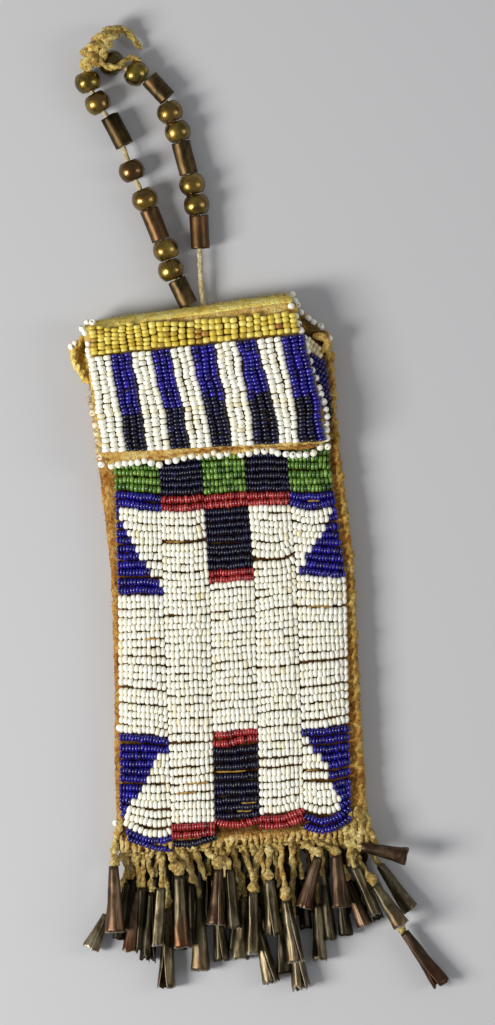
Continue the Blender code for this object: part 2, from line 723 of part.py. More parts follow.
def handle_knot(axis):
    """The lumpy knot that ties the strands, and the thong's two free tails."""
    meshes = []
    for name, route, shares in (
        ("handle_knot", KNOT_ROUTE, KNOT_RADIUS_SHARES),
        ("knot_tail", TAIL_ROUTE, TAIL_RADIUS_SHARES),
    ):
        radii = [share * THONG / 2 for share in shares]
        meshes.append(round_tube(name, route_in_metres(route), radii, KNOT_SIDES))
    knot = add_object("handle_knot", meshes[0], thong_material(), axis)
    tail = add_object("knot_tail", meshes[1], None, axis)
    for made in (knot, tail):
        made.matrix_parent_inverse = Matrix.Translation(-handle_axis_point())
    hide_from_build(tail)
    join = knot.modifiers.new("tail", "BOOLEAN")
    join.operation = "UNION"
    join.object = tail


def handle():
    origin = handle_axis_point()
    axis = add_empty("handle_axis", origin)
    thong("handle_thong_left", LEFT_ROUTE, axis)
    thong("handle_thong_right", RIGHT_ROUTE, axis)
    handle_knot(axis)
    bead_mesh = turned("brass_bead", brass_bead_profile(), ROUND_SIDES)
    bead_mesh.materials.append(brass_material())
    meshes = {BRASS_BEAD_LENGTH: bead_mesh}
    for length in (TUBE_LENGTH, SHORT_TUBE_LENGTH):
        meshes[length] = turned("rolled_tube", tube_profile(length), ROUND_SIDES)
        meshes[length].materials.append(copper_material())
    for name, length, centre, direction in strung_pieces():
        piece = add_object(name, meshes[length], None, axis)
        piece.location = centre - origin
        piece.rotation_euler = direction.to_track_quat("Z", "Y").to_euler()


def cone_row(name):
    return next(row for row in CONES if row[0] == name)


def cone_frame(row):
    """World top, direction, length and mouth radius of one cone."""
    _, across, drop, lean, length_share, mouth_share, high = row
    length, mouth = CONE_LENGTH * length_share, CONE_MOUTH_RADIUS * mouth_share
    base = HIGH_TIER if high else LOW_TIER
    top = Vector((across * HALF_WIDTH, SEAM_Y - drop * FRINGE_DROP, base))
    mouth_z = mouth + MOUTH_LIFT + (HIGH_TIER - LOW_TIER if high else 0.0)
    lean = math.radians(lean)
    level = math.sqrt(length ** 2 - (mouth_z - base) ** 2)
    foot = Vector((top.x + level * math.sin(lean), top.y - level * math.cos(lean), mouth_z))
    return top, (foot - top).normalized(), length, mouth


def cone_profile(length, mouth):
    """Half section of a thin cone that flares towards its mouth."""
    waist = CONE_WAIST_SHARE * length
    waist_radius = CONE_TOP_RADIUS + (mouth - CONE_TOP_RADIUS) * CONE_FLARE_SHARE
    outer = [(CONE_TOP_RADIUS, 0.0), (waist_radius, waist), (mouth, length)]
    return outer + [(radius - CONE_WALL, height) for radius, height in reversed(outer)]


def cones(axis):
    origin = Vector((0.0, FRINGE_AXIS_Y, FRINGE_AXIS_Z))
    for row in CONES:
        top, direction, length, mouth = cone_frame(row)
        mesh = turned(row[0], cone_profile(length, mouth), ROUND_SIDES)
        made = add_object(row[0], mesh, tin_material(), axis)
        made.location = top - origin
        made.rotation_euler = direction.to_track_quat("Z", "Y").to_euler()


def thong_roots():
    """X of each thong where it leaves the strip, left to right."""
    rows = [row for row in CONES if row[0] != LAST_CONE]
    limit = ROOT_LIMIT_SHARE * HALF_WIDTH
    pitch = 2 * limit / (len(rows) - 1)
    ordered = sorted(rows, key=lambda row: cone_frame(row)[0].x)
    return [(-limit + pitch * i, row) for i, row in enumerate(ordered)]


def thong_centres(root_x, row):
    """Centres of a fringe thong from the strip down to inside its cone."""
    top, direction, length, _ = cone_frame(row)
    entry = top - direction * THONG_TIP / 2
    root = Vector((root_x, FRINGE_AXIS_Y - FRINGE_STRIP - GAP / 2, FRINGE_BASE + FRINGE_HEIGHT / 2))
    reach = (entry - root).length * THONG_REACH_SHARE
    first = root + Vector((0.0, -reach, 0.0))
    second = entry - direction * reach
    centres = []
    for i in range(1, THONG_STEPS + 1):
        t = i / THONG_STEPS
        centres.append(
            root * (1 - t) ** 3 + first * 3 * t * (1 - t) ** 2
            + second * 3 * t ** 2 * (1 - t) + entry * t ** 3
        )
    centres.append(top + direction * TIP_IN_CONE)
    if row[0] == THREADED_CONE:
        last_top, last_direction, _, _ = cone_frame(cone_row(LAST_CONE))
        mouth = top + direction * length
        centres += [mouth, last_top - last_direction * THONG_TIP, last_top + last_direction * TIP_IN_CONE]
    return centres


def fringe_strip(axis):
    """A strip in the foot seam, cut into square thongs that twist as they fall."""
    back, front = -GAP / 2, -GAP / 2 - FRINGE_STRIP
    low, high = -FRINGE_HEIGHT, 0.0
    limit = HALF_WIDTH
    build = bmesh.new()
    edges = [-limit]
    for root_x, _ in thong_roots():
        edges += [root_x - FRINGE_THONG / 2, root_x + FRINGE_THONG / 2]
    edges.append(limit)
    middle = (low + high) / 2
    levels = [low, middle - FRINGE_THONG / 2, middle + FRINGE_THONG / 2, high]
    front_verts = [[build.verts.new((x, front, z)) for z in levels] for x in edges]
    back_verts = [[build.verts.new((x, back, z)) for z in (low, high)] for x in (-limit, limit)]
    cells = []
    for i, (near, far) in enumerate(zip(front_verts, front_verts[1:])):
        for k in range(3):
            face = build.faces.new((near[k], far[k], far[k + 1], near[k + 1]))
            if i % 2 and k == 1:
                cells.append(face)
    build.faces.new((back_verts[0][0], back_verts[0][1], back_verts[1][1], back_verts[1][0]))
    build.faces.new([back_verts[0][0], back_verts[1][0]] + [row[0] for row in reversed(front_verts)])
    build.faces.new([back_verts[1][1], back_verts[0][1]] + [row[-1] for row in front_verts])
    build.faces.new([back_verts[0][1], back_verts[0][0]] + front_verts[0])
    build.faces.new([back_verts[1][0], back_verts[1][1]] + list(reversed(front_verts[-1])))
    origin = Vector((0.0, FRINGE_AXIS_Y, FRINGE_AXIS_Z))
    for (root_x, row), face in zip(thong_roots(), cells):
        centres = [point - origin for point in thong_centres(root_x, row)]
        pull_thong(build, face, centres)
    add_object("fringe_strip", mesh_from("fringe_strip", build), thong_material(), axis)


def pull_thong(build, face, centres):
    """Extrude one cell of the strip along its centres, twisting and thinning."""
    count = len(centres)
    before = face.calc_center_median()
    corners = list(face.verts)
    section = [
        (math.copysign(0.5, corner.co.x - before.x), math.copysign(0.5, corner.co.z - before.z))
        for corner in corners
    ]
    for i, centre in enumerate(centres):
        after = centres[min(i + 1, count - 1)]
        ahead = (after - before).normalized()
        share = (i + 1) / count
        size = FRINGE_THONG + (THONG_TIP - FRINGE_THONG) * share
        across = Vector((1.0, 0.0, 0.0)) - ahead * ahead.x
        across.normalize()
        upward = across.cross(ahead)
        if upward.z < 0:
            upward.negate()
        turn = THONG_TWIST * share
        placed = []
        for a, b in section:
            turned_a = a * math.cos(turn) - b * math.sin(turn)
            turned_b = a * math.sin(turn) + b * math.cos(turn)
            placed.append(build.verts.new(centre + across * turned_a * size + upward * turned_b * size))
        for k in range(4):
            j = (k + 1) % 4
            build.faces.new((corners[k], corners[j], placed[j], placed[k]))
        if i == 0:
            build.faces.remove(face)
        corners = placed
        before = centre
    build.faces.new(corners)


def fringe():
    axis = add_empty("fringe_axis", (0.0, FRINGE_AXIS_Y, FRINGE_AXIS_Z))
    fringe_strip(axis)
    cones(axis)


def main():
    clear_scene()
    back_panel()
    front_panel()
    side_welts()
    bottom_welt()
    for index in range(LANE_COUNT):
        bead_lane(index)
    flap()
    handle()
    fringe()


if __name__ == "__main__":
    main()
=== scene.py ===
"""Looks of a beaded strike-a-light bag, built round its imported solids.

Everything is in metres in the frame of the solids: X across the bag, Y up it
towards the handle, Z out of the beaded front, with the table at zero height.
"""
import math
import re

import bpy
import numpy as np
from mathutils import Matrix, Vector, noise


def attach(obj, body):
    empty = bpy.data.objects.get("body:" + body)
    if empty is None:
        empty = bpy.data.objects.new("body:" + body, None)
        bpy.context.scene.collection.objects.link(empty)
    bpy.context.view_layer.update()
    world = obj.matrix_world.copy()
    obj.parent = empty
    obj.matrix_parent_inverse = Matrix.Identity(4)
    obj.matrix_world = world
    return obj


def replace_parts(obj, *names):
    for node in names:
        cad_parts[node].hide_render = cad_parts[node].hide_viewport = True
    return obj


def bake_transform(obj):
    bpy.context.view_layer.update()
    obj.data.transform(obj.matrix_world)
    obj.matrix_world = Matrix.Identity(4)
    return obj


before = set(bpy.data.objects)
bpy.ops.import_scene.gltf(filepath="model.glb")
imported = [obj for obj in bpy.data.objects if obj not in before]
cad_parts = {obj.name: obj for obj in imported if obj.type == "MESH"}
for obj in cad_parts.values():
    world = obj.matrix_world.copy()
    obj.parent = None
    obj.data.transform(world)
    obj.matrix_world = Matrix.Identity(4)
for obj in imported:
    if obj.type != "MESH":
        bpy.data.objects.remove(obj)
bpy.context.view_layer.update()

MM = 0.001
SEED = 1887
RNG = np.random.default_rng(SEED)
noise.seed_set(SEED)

# The photograph's framing: millimetres per pixel, the pixel of the origin and the bag's turn.
PX = 0.32
ORIGIN_PX = (225.0, 577.0)
TURN = math.radians(4.1)
VIEW_CENTRE = (8.7 * MM, 20.1 * MM, 8.0 * MM)
VIEW_HEIGHT = 328.0 * MM
CAMERA_DISTANCE = 2.0
SENSOR = 36.0

# Sizes shared with the solids.
HALF_WIDTH = 40.3 * MM
POUCH_BELOW = 85.6 * MM
MOUTH_ABOVE = 76.0 * MM
HIDE = 1.6 * MM
FRONT_HIDE = 1.4 * MM
GAP = 0.3 * MM
FRONT_EDGE = 6.0 * MM
ARCH_RISE = 1.3 * MM
FOLD_TILT = math.radians(4.0)
FLAP_AXIS = Vector((-5.64, 83.9, 9.4)) * MM
FOLD_HEIGHT = 12.7 * MM
FOLD_BULGE = 3.0 * MM
FOLD_HALF_WIDTH = 33.1 * MM
FLAP_LENGTH = 46.6 * MM
SEAM_Y = -POUCH_BELOW
FRINGE_AXIS_Y = SEAM_Y - GAP / 2
FRINGE_BASE = 2.9 * MM
FRINGE_HEIGHT = 2.8 * MM
FRINGE_DROP = 20.0 * MM
CONE_LENGTH = 19.0 * MM
CONE_TOP_RADIUS = 1.6 * MM
CONE_MOUTH_RADIUS = 3.1 * MM
LOW_TIER = 3.3 * MM
HIGH_TIER = 9.2 * MM
MOUTH_LIFT = 0.35 * MM
THONG = 1.6 * MM
BRASS_BEAD = 8.4 * MM
BRASS_BEAD_LENGTH = 6.4 * MM
TUBE_DIAMETER = 6.4 * MM
TUBE_LENGTH = 10.6 * MM
SHORT_TUBE_LENGTH = 8.8 * MM
SEAM_TOP = 5.6 * MM
SEAM_FOOT = 1.2 * MM
CROWN = FRONT_EDGE + ARCH_RISE + FRONT_HIDE

# Steps of a smooth curve between its points, and sizes of stitches, fibres and rolled metal.
PATH_STEPS = 12
STITCH_REACH = 1.15 * MM
FIBRE_RADIUS = 0.09 * MM
FIBRE_FACES = ((0, 2, 1), (0, 1, 4, 3), (1, 2, 5, 4), (2, 0, 3, 5), (3, 4, 6), (4, 5, 6), (5, 3, 6))
ROLLED_SIDES = 44
UP = Vector((0.0, 0.0, 1.0))

EDGE_SHARES = (
    (-1.00, -1.000, 1.002), (-0.70, -0.985, 1.000), (-0.35, -0.935, 1.007), (0.05, -0.906, 1.025),
    (0.33, -0.928, 0.998), (0.60, -0.955, 0.973), (1.00, -0.966, 0.978),
)
LANE_TOP = 74.0 * MM
LANE_EDGE_SHARES = (
    (0.00, -0.975, -0.565, -0.222, 0.134, 0.491, 0.863),
    (0.50, -0.854, -0.496, -0.124, 0.233, 0.566, 0.958),
    (0.74, -0.817, -0.452, -0.119, 0.221, 0.561, 0.897),
    (1.00, -0.868, -0.496, -0.136, 0.223, 0.583, 0.943),
)
FLAP_OUTLINE_SHARES = ((-1.006, 0.0), (-1.030, 0.930), (1.175, 1.000), (1.033, 0.075))

# The thong's two strands, from inside the fold up to the knot: X, height above the hinge line, Z.
LEFT_ROUTE = (
    (-4.3, -1.3, 4.0), (-5.0, 2.3, 4.0), (-7.3, 8.3, 4.1), (-10.2, 15.2, 4.3), (-11.3, 21.8, 4.3),
    (-14.3, 29.8, 4.3), (-16.8, 38.3, 4.3), (-20.4, 47.8, 4.3), (-24.4, 61.1, 4.3), (-29.7, 70.4, 4.3),
    (-32.5, 77.4, 4.3), (-33.4, 81.6, 4.3),
)
RIGHT_ROUTE = (
    (-0.4, -0.7, 4.0), (-0.6, 3.0, 4.0), (-0.9, 8.6, 4.2), (-0.8, 15.3, 4.3), (-0.4, 26.8, 4.3),
    (-0.5, 35.9, 4.3), (-1.5, 42.5, 4.3), (-3.4, 50.6, 4.3), (-4.9, 59.7, 4.3), (-6.8, 65.6, 4.3),
    (-10.1, 73.6, 4.3), (-16.9, 79.2, 4.3), (-24.4, 83.0, 4.3), (-28.2, 84.2, 4.3),
)
INSIDE_FOLD = 4.2 * MM
# Pieces strung on each strand from the fold up: name, length and the gap before it in millimetres.
STRUNG_LEFT = (
    ("tube_left_3", SHORT_TUBE_LENGTH, 1.2), ("bead_left_6", BRASS_BEAD_LENGTH, 0.5),
    ("bead_left_5", BRASS_BEAD_LENGTH, 0.3), ("tube_left_2", TUBE_LENGTH, 0.3),
    ("bead_left_4", BRASS_BEAD_LENGTH, 0.3), ("bead_left_3", BRASS_BEAD_LENGTH, 3.6),
    ("tube_left_1", TUBE_LENGTH, 5.1), ("bead_left_2", BRASS_BEAD_LENGTH, 2.4),
    ("bead_left_1", BRASS_BEAD_LENGTH, 1.1),
)
STRUNG_RIGHT = (
    ("tube_right_3", TUBE_LENGTH, 18.2), ("bead_right_6", BRASS_BEAD_LENGTH, 0.3),
    ("bead_right_5", BRASS_BEAD_LENGTH, 0.3), ("tube_right_2", TUBE_LENGTH, 0.3),
    ("bead_right_4", BRASS_BEAD_LENGTH, 0.3), ("bead_right_3", BRASS_BEAD_LENGTH, 0.3),
    ("tube_right_1", SHORT_TUBE_LENGTH, 0.9), ("bead_right_2", BRASS_BEAD_LENGTH, 0.9),
    ("bead_right_1", BRASS_BEAD_LENGTH, 2.2),
)
SLIDING = ("tube_right_3", "bead_left_3", "tube_left_1", "bead_left_2")
# Darkness and redness of the strung pieces that differ from the rest.
STRUNG_LOOKS = {
    "bead_right_1": (0.55, 0.4), "bead_left_3": (0.45, 0.9), "bead_right_4": (0.25, 0.5),
    "bead_left_6": (0.12, 0.5), "tube_left_1": (0.55, 0.1), "tube_right_3": (0.05, 0.6),
    "tube_left_2": (0.12, 0.5), "tube_right_2": (0.2, 0.3), "tube_left_3": (0.30, 0.2),
    "tube_right_1": (0.10, 0.4), "bead_right_2": (-0.1, 0.0), "bead_left_1": (0.0, 0.1),
}

# Strands of the knot: points of pixels across and down with a height, then radii, in millimetres.
KNOT_STRANDS = (
    ("thong_knot_band",
     ((88, 69, 6.0), (88, 62, 7.0), (91, 54, 7.8), (95, 47, 8.0), (100, 41, 7.8), (106, 35, 7.2),
      (112, 31, 6.2), (118, 28.6, 5.2)),
     (1.4, 1.9, 2.2, 2.3, 2.2, 1.9, 1.6, 1.2)),
    ("thong_knot_inner",
     ((99, 61, 7.6), (103, 55, 8.6), (105, 48, 8.8), (108, 42, 8.4), (113, 36, 7.4), (119, 31.5, 5.8)),
     (1.2, 1.3, 1.6, 1.6, 1.3, 0.9)),
    ("thong_knot_end",
     ((98, 51, 8.2), (92, 49.5, 8.4), (86.5, 50.5, 7.6), (83.2, 54.5, 6.4)),
     (1.6, 1.7, 1.5, 1.1)),
    ("thong_knot_wad",
     ((86, 70, 6.4), (84, 65, 6.2), (86, 60, 7.6), (92, 58, 8.8), (97, 61, 8.8), (99, 66, 8.0)),
     (0.9, 1.2, 1.5, 1.7, 1.6, 1.0)),
    ("thong_tail_upper",
     ((112, 31, 6.0), (118.5, 28.6, 4.9), (124.9, 29.6, 4.3), (130.6, 34.9, 3.5), (136.4, 41.8, 2.6),
      (141.0, 47.8, 1.8)),
     (1.2, 1.2, 1.15, 1.0, 0.9, 0.55)),
    ("thong_tail_lower",
     ((93, 57, 8.6), (98.5, 60.5, 9.3), (104.8, 65.2, 9.9), (111.7, 67.6, 10.1), (118.5, 66.4, 9.6),
      (125, 60.8, 8.0), (131.8, 57.6, 7.0), (140.8, 59.4, 5.6)),
     (0.9, 0.85, 0.85, 0.9, 0.9, 0.9, 0.85, 0.5)),
)

CONES = (
    ("tinkler_01", -1.040, 0.205, -3.0, 1.11, 1.10, True),
    ("tinkler_02", -0.861, 0.665, -13.5, 1.00, 0.90, False),
    ("tinkler_03", -0.760, 0.680, -7.9, 1.14, 0.93, False),
    ("tinkler_04", -0.635, 0.955, -6.3, 1.34, 1.03, False),
    ("tinkler_05", -0.529, 0.425, -1.9, 1.22, 1.00, True),
    ("tinkler_06", -0.391, 0.830, -2.2, 1.22, 1.00, False),
    ("tinkler_07", -0.216, 0.375, -7.5, 0.93, 1.00, True),
    ("tinkler_08", -0.246, 0.945, 0.0, 0.96, 0.93, False),
    ("tinkler_09", -0.128, 0.385, 0.6, 0.99, 0.78, True),
    ("tinkler_10", -0.027, 0.880, -7.4, 1.03, 1.00, False),
    ("tinkler_11", 0.048, 0.780, -4.4, 1.03, 0.78, True),
    ("tinkler_12", 0.058, 1.310, 9.4, 1.00, 0.97, False),
    ("tinkler_13", 0.178, 0.605, 0.4, 0.91, 0.94, True),
    ("tinkler_14", 0.300, 0.945, 5.0, 1.05, 0.95, True),
    ("tinkler_15", 0.342, 1.400, 3.2, 1.03, 1.00, False),
    ("tinkler_16", 0.578, 0.295, -20.0, 0.88, 0.94, True),
    ("tinkler_17", 0.730, 0.285, 1.5, 0.87, 1.03, True),
    ("tinkler_18", 0.797, 0.725, 17.6, 0.82, 0.93, False),
    ("tinkler_19", 0.930, 0.175, 74.0, 0.78, 1.00, True),
    ("tinkler_20", 1.068, 0.510, 29.6, 0.91, 0.96, False),
    ("tinkler_21", 1.012, 0.805, 29.0, 0.81, 0.96, True),
    ("tinkler_22", 1.222, 1.610, 31.5, 1.06, 1.00, False),
)
# For each cone: finish, darkness, rust, seam angle in degrees (90 faces up), opening of the seam
# at the mouth in degrees and raggedness of the mouth in millimetres.
CONE_LOOKS = {
    "tinkler_01": ("tin_brown", 0.12, 0.5, 200, 0, 0.4), "tinkler_02": ("tin_brown", 0.25, 0.9, 110, 0, 1.4),
    "tinkler_03": ("tin", 0.72, 0.1, 60, 26, 2.2), "tinkler_04": ("tin", 0.15, 0.2, 112, 62, 1.2),
    "tinkler_05": ("tin", 0.35, 0.9, 128, 0, 0.8), "tinkler_06": ("tin", 0.20, 0.5, 150, 0, 1.0),
    "tinkler_07": ("tin_brown", 0.20, 0.3, 60, 0, 0.7), "tinkler_08": ("tin", 0.50, 0.2, 84, 8, 1.0),
    "tinkler_09": ("tin", 0.62, 0.1, 100, 0, 0.6), "tinkler_10": ("tin", -0.30, 0.1, 130, 0, 1.0),
    "tinkler_11": ("tin", 0.15, 0.2, 118, 0, 1.0), "tinkler_12": ("tin", 0.05, 0.1, 72, 10, 2.0),
    "tinkler_13": ("tin", 0.40, 0.2, 96, 20, 1.6), "tinkler_14": ("tin", 0.10, 0.4, 60, 12, 1.0),
    "tinkler_15": ("tin", -0.10, 0.3, 74, 26, 2.2), "tinkler_16": ("tin_brown", 0.30, 0.5, 80, 0, 0.6),
    "tinkler_17": ("tin_brown", 0.45, 0.2, 140, 0, 0.5), "tinkler_18": ("tin_brown", 0.15, 0.4, 84, 0, 0.8),
    "tinkler_19": ("tin_brown", 0.42, 0.2, 250, 0, 0.4), "tinkler_20": ("tin", 0.25, 0.2, 70, 0, 0.5),
    "tinkler_21": ("tin", 0.05, 0.5, 96, 0, 0.5), "tinkler_22": ("tin_brown", 0.55, 0.8, 118, 30, 2.0),
}
# Bulges of the thongs over the cones' tops: radius and length in millimetres.
WADS = {
    "tinkler_01": (1.5, 3.5), "tinkler_03": (1.5, 4.6), "tinkler_04": (1.9, 3.8), "tinkler_05": (2.3, 5.2),
    "tinkler_07": (2.0, 4.8), "tinkler_10": (1.2, 2.6), "tinkler_11": (1.5, 3.4), "tinkler_13": (1.5, 3.2),
    "tinkler_14": (1.8, 5.0), "tinkler_16": (1.6, 4.0), "tinkler_17": (1.6, 3.6), "tinkler_18": (1.9, 6.4),
    "tinkler_21": (1.8, 5.6), "tinkler_22": (1.5, 2.8),
}
# Cones that show only between and behind the solids' own: pixels of the top and the mouth,
# height of the top, share of the mouth and darkness. The high darkness of most low cones is partly
# their own dark tin and partly painted shade that darkens the gaps of the fringe.
MORE_CONES = (
    (106.4, 916, 90.3, 949, 3.4, 0.95, 0.0), (142.6, 888, 138, 950, 4.0, 0.75, 0.7),
    (161.5, 888, 157, 945, 8.0, 0.62, -0.1), (181, 905, 180, 950, 3.4, 0.8, 0.75),
    (265, 885, 268, 935, 6.0, 0.75, 0.45), (282, 925, 284, 974, 3.4, 0.85, 0.8),
    (318, 905, 320, 961, 3.4, 0.85, 0.3), (325, 885, 331, 940, 5.2, 0.72, 0.6),
    (340, 890, 346, 936, 3.4, 0.8, 0.85), (355.2, 867, 375.4, 914, 9.5, 0.6, 0.2),
    (192, 884, 193, 930, 3.0, 0.62, 0.8), (209, 876, 208, 921, 3.0, 0.62, 0.85),
    (302, 880, 306, 930, 3.0, 0.68, 0.85), (127, 884, 118, 940, 3.0, 0.7, 0.8),
    (363, 880, 379, 920, 3.0, 0.6, 0.85), (238, 905, 233, 951, 3.0, 0.66, 0.8),
    (132, 880, 131, 934, 3.0, 0.66, 0.9), (225, 878, 226, 930, 3.0, 0.62, 0.9),
    (156, 878, 152, 930, 3.0, 0.6, 0.9), (249, 878, 252, 930, 3.0, 0.62, 0.9),
    (175, 872, 174, 925, 3.0, 0.6, 0.9), (278, 880, 280, 930, 3.0, 0.6, 0.9),
)

# Extra cones that lie on a cone that lifts, and so lift with it.
LIFTED_WITH = {2: "tinkler_02", 3: "tinkler_03"}

# Rows of beads that show on each lane, top to bottom: the row's height in the photograph, then
# counts of beads from the left by colour. A last colour without a count fills the row.
LANE_ROWS = (
    "461.5g 467g 473g 480.5g 487.5g 496b 504.5b 512.2b1w 518.8b1w 526.5b2w 534b3w 540.5b4w 548.2b5w "
    "555.8b6w 564.5b8w 572.2b9w 582.2b11w 589.8b 598.5w 605w 613w 621w 627.5w 635.2w 643.5w 651.5w "
    "660.2w 668.8w 676w 683.8w 693.2w 700w 708.8w 715.8w 722.5w 730.5w 738.8b 748.2b 755.8b10w "
    "763.8b9w 771.2b8w 779b7w 788.5b6w 796.5b5w 803.5b3w 813.2b2w 822b1w 832.5w 839.5b 846b",
    "458.8n 466.2n 472.5n 478n 484.8n 492n 500.2r 508r 515w 522w 529.8w 536.5w 547w 553.5w 560.2w "
    "567.5w 576.2w 583w 589.8w 596.5w 603.5w 610.5w 619w 625.5w 632.2w 639.2w 647w 654.5w 662.5w "
    "670w 677.2w 684.5w 691.5w 699.5w 707.2w 713.8w 721.2w 728.5w 737w 746.5w 754w 761.5w 770.5w "
    "779w 787.5w 796.5w 804.8w 812.2w 819.2w 826.5r 834.2r 843n",
    "463.5g 469.5g 475.5g 482.2g 489.2g 496.5r 504r 511.2n 517.8n 524.5n 530.8n 538.2n 545.8n "
    "550.8n 558n 565.2n 572.2r 579r 584.5w 592.5w 599.5w 606.5w 614.5w 622.5w 629w 636.5w 643w "
    "650.2w 657.2w 665.2w 673w 680.5w 688w 695.5w 703.5w 711.2w 718w 726.5w 733r 740.8r 749.5n "
    "757.5n 765.5n 775.8n 784n 791n 799.2n 807n 815n 824r",
    "461n 468n 475.2n 482n 487.8n 495.2r 502r 508.5w 516.8w 524w 530.5w 538.2w 547w 554.2w 564.5w "
    "571.8w 578.8w 584.8w 591.5w 598.5w 604.5w 612.5w 618.8w 625.5w 633.2w 640.5w 647.5w 655.5w "
    "661.8w 670.2w 677.5w 685w 691.8w 699.5w 706.2w 714.5w 721.2w 729.5w 736.2w 744.5w 752.2w "
    "761.5w 770.5w 777w 784.5w 791.5w 800w 807.8w 817.2r 824.5r",
    "465.5g 474g 481g 488g 496.2b 505.2b 514w11b 520.5w10b 528w9b 534.8w8b 542w6b 550w5b 557.5w3b "
    "565.2w3b 572.5w1b 579.5w 586.5w 594.5w 601.5w 610.8w 617.5w 625.5w 632.5w 640.2w 647.2w "
    "655.5w 665.5w 672.8w 680.5w 689.5w 697.5w 706w 713.8w 723w 731b 739.5w2b 748.8w3b 757.2w5b "
    "764.5w7b 775w7b 785.8w8b 793.5w9b 800.5w10b 810w10b 820b 829b",
)
# How the rows of each lane run in the photograph: height, slope and how far the middle sags, in pixels.
LANE_SHAPES = (
    ((461, 0, 0), (490, .08, 0), (504, .13, 0), (523, .10, 0), (541, .03, 0), (605, 0, 0), (640, -.06, 0),
     (652, 0, 0), (677, .08, 0), (735, .13, 0), (746, .06, 0), (790, .01, 1), (803, .08, 2), (813, .12, 3),
     (822, .15, 5), (832.5, .19, 7), (839.5, .15, 5), (846, .26, 2)),
    ((458, -.04, 0), (500, -.04, 2), (514, -.04, 2.5), (535, -.04, 2), (570, -.04, 1), (610, -.03, 0),
     (735, -.04, 0), (780, -.09, 0), (820, -.06, 0), (834, -.09, 0.5), (843, -.15, 3)),
    ((463, -.05, 0), (499, -.10, 0), (511, -.07, 0), (558, -.07, 0), (575, -.09, 0), (588, -.13, 0),
     (605, -.11, 0), (645, -.11, 0), (660, -.15, 0), (690, -.07, 0), (727, -.07, 0), (741, -.11, 0),
     (750, -.05, 0), (815, -.05, 0), (824, -.04, 4)),
    ((461, 0, 0), (487, -.02, 0), (502, -.08, 0), (508, -.02, 0), (525, 0, 2), (548, -.08, 5),
     (562, -.11, 3.5), (575, -.13, 1), (605, -.19, 0), (623, -.13, 0), (643, -.09, 0), (795, -.09, 0),
     (808, -.15, 1), (817, -.18, 3), (824.5, -.17, 3)),
    ((465, 0, 0), (495, 0, 2), (503, 0, 4), (510, 0, 5.5), (519, 0, 4.5), (528, .03, 2.5), (535, .06, 1),
     (552, .06, 0), (573, .11, 0), (579, .08, 0), (605, 0, 0), (625, -.02, 0), (655, -.1, 0),
     (724, -.11, 0), (731, -.07, 0), (757, -.07, 1), (785, -.07, 2.5), (793, -.08, 4), (801, -.10, 5),
     (810, -.12, 6.5), (820, -.18, 8), (829, -.18, 7.5)),
)
# Rows with a sliver of bare hide above them: lane, height in the photograph and the shares of the
# lane's width where the sliver starts and ends.
BARE_LINES = (
    (1, 541.5, 0.08, 0.5), (2, 770.5, 0.05, 0.72), (1, 783, 0.35, 0.9), (1, 792, 0.1, 0.6),
    (2, 803, 0.6, 0.95), (2, 811, 0.5, 0.85), (4, 500.5, 0.38, 0.66), (4, 606, 0.2, 0.7),
    (4, 769.5, 0.06, 0.32), (0, 639.5, 0.55, 0.85),
)
# Pixels across at four heights down the middle of each lane.
LANE_MIDDLES = (
    ((470, 138), (600, 140), (700, 141), (830, 147)), ((470, 182), (600, 187), (700, 190), (840, 193)),
    ((470, 226), (600, 232), (700, 234), (825, 238)), ((470, 268), (600, 274), (700, 277), (825, 283)),
    ((470, 310), (600, 317), (700, 322), (825, 325)),
)
COLOURS = {"w": "white", "b": "blue", "n": "navy", "r": "red", "g": "green", "y": "yellow"}
BEAD_PITCH = 1.16 * MM
PITCHES = {"w": 1.42 * MM, "g": 1.18 * MM, "b": 0.95 * MM, "n": 0.82 * MM, "r": 0.82 * MM}
HIDDEN_PITCH = 2.3 * MM

# Corners of the fields of beads on the flap, from its hinge line in millimetres: top left, top
# right, foot left and foot right.
YELLOW_FIELD = ((-31.9, -1.0), (34.2, 3.2), (-32.6, 8.0), (34.4, 10.0))
UPPER_FIELD = ((-33.7, 8.4), (35.9, 10.8), (-33.2, 26.8), (37.7, 30.9))
LOWER_FIELD = ((-33.2, 26.6), (38.0, 30.8), (-33.3, 39.3), (37.6, 45.6))
STRIPES = "wbwbwbwbwb"
STRIPE_TOPS = (0, .1044, .1977, .2951, .379, .4723, .5804, .6867, .7758, .8876, 1)
STRIPE_FEET = (0, .110, .2, .3078, .3959, .4939, .5796, .6833, .7976, .8857, 1)
NAVY_FROM = (28.5, 28.4, 27.0, 28.3, 30.4)
FLAP_FIELDS = (
    ("yellow", YELLOW_FIELD, 28, "flap_yellow_beads"), ("upper", UPPER_FIELD, 30, "flap_stripes_upper"),
    ("lower", LOWER_FIELD, 30, "flap_stripes_lower"),
)

